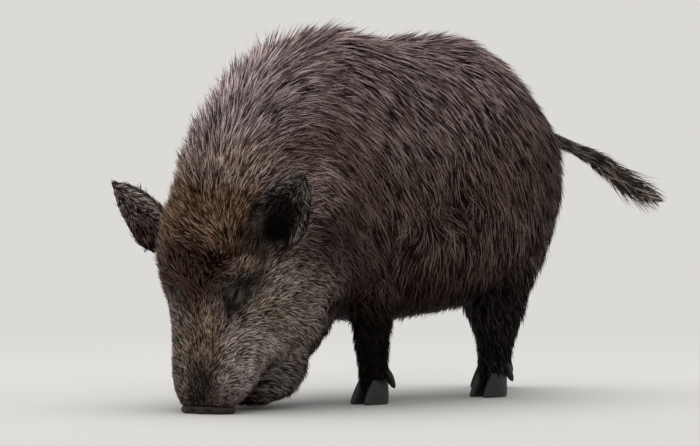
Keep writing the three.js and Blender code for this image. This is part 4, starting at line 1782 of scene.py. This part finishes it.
@dataclass
class Foot:
    """One foot's claws in mm: two that bear the weight, with round walls and pointed toes, and two dewclaws.

    foot is the foot's middle. across is how far each bearing claw's middle lies from it, half its half width,
    splay how far it opens for each mm ahead of its heel, inner its inner wall's share of the half width, and
    taper how much of that the toe loses. walls is up, heel, toe and the share of the half width, from the
    sole up. hang is ahead, up and the half width along a dewclaw, from its root down, beside by its way out
    from across, and flat its thickness as a share of its width.
    """

    foot: Pair
    across: float = 16.5
    half: float = 14.0
    splay: float = 0.07
    heel: float = 28.0
    inner: float = 0.84
    taper: float = 0.4
    walls: tuple[tuple[float, float, float, float], ...] = (
        (0, -22, 38, 0.78),
        (0.8, -25.5, 42.5, 0.9),
        (4, -27.5, 45, 0.97),
        (12, -28.5, 43, 1.0),
        (24, -28.5, 37.5, 1.0),
        (36, -27.5, 31, 0.98),
        (46, -26, 25, 0.94),
        (54, -23, 20, 0.86),
    )
    beside: float = 3.0
    flat: float = 0.72
    hang: tuple[Triple, ...] = (
        (-20, 74, 10),
        (-29, 61, 11.5),
        (-37, 48, 9.5),
        (-43, 38, 6),
        (-46, 33, 1),
    )

    def claw(self, side: float) -> Array:
        """Gives one bearing claw's rings: teardrops with the point at the toe and the inner wall the flatter.

        Args:
            side: which claw, +1 for the animal's left one.

        Returns:
            Rings by points by x, y, z in metres.
        """
        row = through(np.array(self.walls, float), np.linspace(0, len(self.walls) - 1, 36))
        t = circle(56)
        toe = (1 + np.cos(t)) / 2
        ahead = row[:, 1:2] + (row[:, 2:3] - row[:, 1:2]) * toe
        wall = np.where(np.sin(t) * side > 0, 1.0, self.inner) * (1 - self.taper * toe**2.2)
        wall = wall * squared(np.sin(t), 0.8)
        out = side * self.across + self.half * row[:, 3:4] * wall + side * self.splay * (ahead + self.heel)
        return place(self.foot[0] + out, self.foot[1] + ahead, row[:, :1] + 0 * t)

    def dewclaw(self, side: float) -> Array:
        """Gives one dewclaw's rings: flattened ovals square to a line that hangs down and back.

        Args:
            side: which dewclaw, +1 for the animal's left one.

        Returns:
            Rings by points by x, y, z in metres.
        """
        row = through(np.array(self.hang, float), np.linspace(0, len(self.hang) - 1, 26))
        step = np.gradient(row[:, :2], axis=0)
        square = np.stack((-step[:, 1], step[:, 0]), -1) / np.linalg.norm(step, axis=1)[:, None]
        t = circle(32)
        out = side * (self.across + self.beside) + row[:, 2:] * np.cos(t)
        aside = row[:, 2:] * self.flat * np.sin(t)
        ahead, up = row[:, :1] + square[:, :1] * aside, row[:, 1:2] + square[:, 1:] * aside
        return place(self.foot[0] + out, self.foot[1] + ahead, up)

    def build(self, name: str, finish: bpy.types.Material) -> bpy.types.Object:
        """Builds the four claws as one piece.

        Args:
            name: the piece's name.
            finish: its material.

        Returns:
            The piece.
        """
        points, faces, count = [], [], 0
        for side in (-1.0, 1.0):
            for rings in (self.claw(side), self.dewclaw(side)):
                verts, polygons = shell(rings)
                points.append(verts)
                faces += [p + count for p in polygons]
                count += len(verts)
        piece = mesh_object(name, np.vstack(points), faces)
        piece.data.materials.append(finish)
        return piece


# ---- The animal and its stage ----


@dataclass
class Boar:
    """The whole animal: its surfaces, its skin, its coat, its eyes and its snout."""

    markings: Markings = field(default_factory=Markings)
    body: RibSurface = field(default_factory=lambda: RibSurface(BODY_RIBS, (230, 150)))
    jaw: RibSurface = field(default_factory=lambda: RibSurface(JAW_RIBS, (48, 72)))
    tail: TailSurface = field(default_factory=TailSurface)

    def __post_init__(self) -> None:
        """Sets the legs and ears."""
        self.legs = {
            "fore_left": LegSurface(FORE_STATIONS, (115, 90), (118, 150)),
            "fore_right": LegSurface(FORE_STATIONS, (-105, 290), (-118, 190)),
            "hind_left": LegSurface(HIND_STATIONS, (115, -270), (118, -340)),
            "hind_right": LegSurface(HIND_STATIONS, (-110, -490), (-118, -360)),
        }
        self.ears = {
            "ear_left": EarSurface(self.body, (140, 52, 366), (200, 106, 500), (0.48, 0.88), 114),
            "ear_right": EarSurface(self.body, (-138, 78, 360), (-258, 92, 482), (-0.4, 0.92), 104),
        }

    def coats(self) -> list[Coat]:
        """Lists the runs of coat, each under 200,000 triangles.

        Returns:
            The runs.
        """
        body, jaw = self.body, self.jaw
        face = {"width": 2.4, "jitter": 7, "wander": 14, "clump": 4.5, "stretch": 1.35, "tones": (0.2, 0.86)}
        brush = {"width": 2.4, "jitter": 8, "wander": 8, "clump": 4}
        short = {"width": 2.8, "jitter": 9, "wander": 10, "clump": 2}
        thin = {"width": 2.6, "jitter": 10, "wander": 12, "clump": 1.5}
        runs = [
            Coat("coat_flank_left", Zone.BODY, body, 16000, (0, 8), (0, 90), 11),
            Coat("coat_belly_left", Zone.BODY, body, 10000, (0, 8), (-90, 0), 12),
            Coat("coat_flank_right", Zone.BODY, body, 11000, (0, 8), (90, 180), 13),
            Coat("coat_belly_right", Zone.BODY, body, 7000, (0, 8), (180, 270), 14),
            Coat("coat_neck_left", Zone.BODY, body, 17000, (8, 12), (-90, 90), 15, tones=(0.2, 0.84)),
            Coat("coat_neck_right", Zone.BODY, body, 11000, (8, 12), (90, 270), 16, tones=(0.2, 0.84)),
            Coat("coat_head_left", Zone.FACE, body, 14000, (12, 15.4), (-90, 90), 17, **face),
            Coat("coat_head_right", Zone.FACE, body, 9000, (12, 15.4), (90, 270), 18, **face),
            Coat("coat_muzzle_left", Zone.FACE, body, 14000, (15.4, 19), (-90, 90), 21, **face),
            Coat("coat_muzzle_right", Zone.FACE, body, 9000, (15.4, 19), (90, 270), 22, **face),
            Coat("coat_jaw", Zone.FACE, jaw, 4500, (0, 3), (-90, 270), 19, **face),
            Coat("coat_tail", Zone.BODY, self.tail, 2500, (0.6, 9), (0, 360), 20, **brush),
        ]
        for seed, (name, leg) in enumerate(self.legs.items(), 30):
            reach = (0.5, leg.last)
            runs.append(Coat(f"coat_{name}_leg", Zone.LEG, leg, 3000, reach, (-90, 270), seed, **short))
        for seed, (name, ear) in enumerate(self.ears.items(), 40):
            reach = (0.35, 5.9)
            runs.append(Coat(f"coat_{name}", Zone.EAR, ear, 4500, reach, (-180, 180), seed, **thin))
        return runs

    def build(self) -> None:
        """Builds and rides every piece, and hides the solids' nodes each one stands for."""
        bristle, hide = Bristle(markings=self.markings), Hide(markings=self.markings)
        bristle, hide = bristle.material(), hide.material()
        skin = Flesh(self.body, {"jaw": self.jaw, "tail": self.tail, **self.legs}, self.ears).build()
        skin.data.materials.append(hide)
        flesh = ("trunk", "neck", "head", "lower_jaw", "tail", "tail_tuft")
        self.seat(skin, Zone.BODY.value, *flesh, *self.ears, *(f"{leg}_leg" for leg in self.legs))
        tree = BVHTree.FromObject(skin, bpy.context.evaluated_depsgraph_get())
        for coat in self.coats():
            self.seat(coat.grow(tree, bristle), coat.zone.value)
        horn, wet, lid = Horn().material(), WetEye().material(), LidSkin().material()
        for side in Side:
            eye = Eye(self.body, side)
            self.seat(eye.ball(tree, wet), "eye", f"eye_{side.name.lower()}")
            self.seat(eye.lids(tree, lid), Zone.FACE.value)
            self.seat(eye.lashes(tree, horn), Zone.FACE.value)
        self.seat(SnoutDisc(self.body).build(Rhinarium().material()), "snout_skin", "snout_disc")
        for name, leg in self.legs.items():
            claws = [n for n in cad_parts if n.startswith(name) and "claw" in n]
            self.seat(Foot(leg.foot).build(f"claws_{name}", horn), "horn", *claws)

    def seat(self, piece: bpy.types.Object, slot: str, *nodes: str) -> None:
        """Rides a piece on the body, hides the solids' nodes it stands for, and reports its triangles.

        Args:
            piece: the piece.
            slot: the name of its finish in the part's record; not used.
            *nodes: the solids' nodes that it replaces.
        """
        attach(piece, "root")
        if nodes:
            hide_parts(*nodes)
        faces = piece.data.polygons
        sides = np.empty(len(faces), dtype=np.int32)
        faces.foreach_get("loop_total", sides)
        log.info("%s: %d triangles", piece.name, int((sides - 2).sum()))


@dataclass
class Studio:
    """The plain floor, the soft light and the camera.

    The floor is plain up to plain_from metres from the origin and fades to the backdrop by plain_to. The
    camera stands away metres from mid-body, bearing degrees from its front to its left, at height metres.
    lens is its focal length in mm, and from level and facing mid-body it is turned tilt degrees down and pan
    to the left.
    """

    pale: str = "#dcdad6"
    half: float = 90.0
    plain_from: float = 1.1
    plain_to: float = 3.2
    bearing: float = 47.0
    away: float = 11.7
    height: float = 0.7785
    sensor: float = 36.0
    lens: float = 274.3714
    pan: float = 0.182573
    tilt: float = 1.910940

    def floor(self) -> None:
        """Lays a wide square that fades into the backdrop's tone away from the animal."""
        points = np.array([(-1, -1, 0), (1, -1, 0), (1, 1, 0), (-1, 1, 0)]) * self.half
        floor = mesh_object("floor", points, [np.array([[0, 1, 2, 3]])], smooth=False)
        material = FloorPaint(pale=self.pale).material()
        tree = material.node_tree
        coords = node(tree, "TexCoord").outputs["Object"]
        away = node(tree, "VectorMath", {0: coords}, operation="LENGTH").outputs["Value"]
        edges = {0: away, 1: self.plain_from, 2: self.plain_to}
        far = node(tree, "MapRange", edges, interpolation_type="SMOOTHSTEP")
        rays = node(tree, "LightPath").outputs
        seen = node(tree, "Math", {0: rays["Is Camera Ray"], 1: rays["Is Glossy Ray"]}, operation="MAXIMUM")
        share = node(tree, "Math", {0: far, 1: seen}, operation="MULTIPLY")
        plain = node(tree, "Emission", {"Color": linear(self.pale), "Strength": 1.0})
        mix = node(tree, "MixShader", {0: share, 1: tree.nodes["Principled BSDF"], 2: plain})
        node(tree, "OutputMaterial", {"Surface": mix}, is_active_output=True)
        floor.data.materials.append(material)

    def light(self) -> None:
        """Hangs one wide soft lamp overhead, one weaker towards the camera, and an even sky."""
        for name, power, size, at, turn in (
            ("overhead", 150.0, 5.0, (-0.8, 0.4, 5.0), (0.0, -9.0, 0.0)),
            ("front", 60.0, 4.0, (4.5, -5.5, 3.6), (62.0, 0.0, 40.0)),
        ):
            lamp = bpy.data.lights.new(name, "AREA")
            lamp.energy, lamp.size = power, size
            holder = bpy.data.objects.new(name, lamp)
            holder.location = at
            holder.rotation_euler = Euler([math.radians(a) for a in turn])
            bpy.context.scene.collection.objects.link(holder)
        world = bpy.data.worlds.new("even sky")
        bpy.context.scene.world = world
        world.use_nodes = True
        tree = world.node_tree
        tree.nodes.clear()
        lit = node(tree, "Background", {"Color": (1.0, 1.0, 1.0, 1.0), "Strength": 0.6})
        seen = node(tree, "Background", {"Color": linear(self.pale), "Strength": 1.0})
        camera_ray = node(tree, "LightPath").outputs["Is Camera Ray"]
        mix = node(tree, "MixShader", {0: camera_ray, 1: lit, 2: seen})
        node(tree, "OutputWorld", {"Surface": mix})

    def camera(self) -> None:
        """Stands the camera on its bearing from mid-body and turns it by its pan and tilt."""
        data = bpy.data.cameras.new("camera")
        data.sensor_width, data.sensor_fit = self.sensor, "HORIZONTAL"
        data.lens = self.lens
        data.clip_end = 200.0
        camera = bpy.data.objects.new("camera", data)
        b = math.radians(self.bearing)
        camera.location = (self.away * math.sin(b), -self.away * math.cos(b) - MID_BODY * MM, self.height)
        camera.rotation_euler = (math.radians(90 - self.tilt), 0.0, math.radians(self.bearing + self.pan))
        bpy.context.scene.collection.objects.link(camera)
        bpy.context.scene.camera = camera

    def build(self) -> None:
        """Sets the stage."""
        self.floor()
        self.light()
        self.camera()
        bpy.context.scene.view_settings.view_transform = "Standard"


def main() -> None:
    """Builds the animal and its stage."""
    logging.basicConfig(level=logging.INFO, format="%(name)s %(relativeCreated)6d ms: %(message)s")
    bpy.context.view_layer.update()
    Studio().build()
    log.info("studio: floor, two lamps, sky and camera")
    Boar().build()


if __name__ == "__main__":
    main()
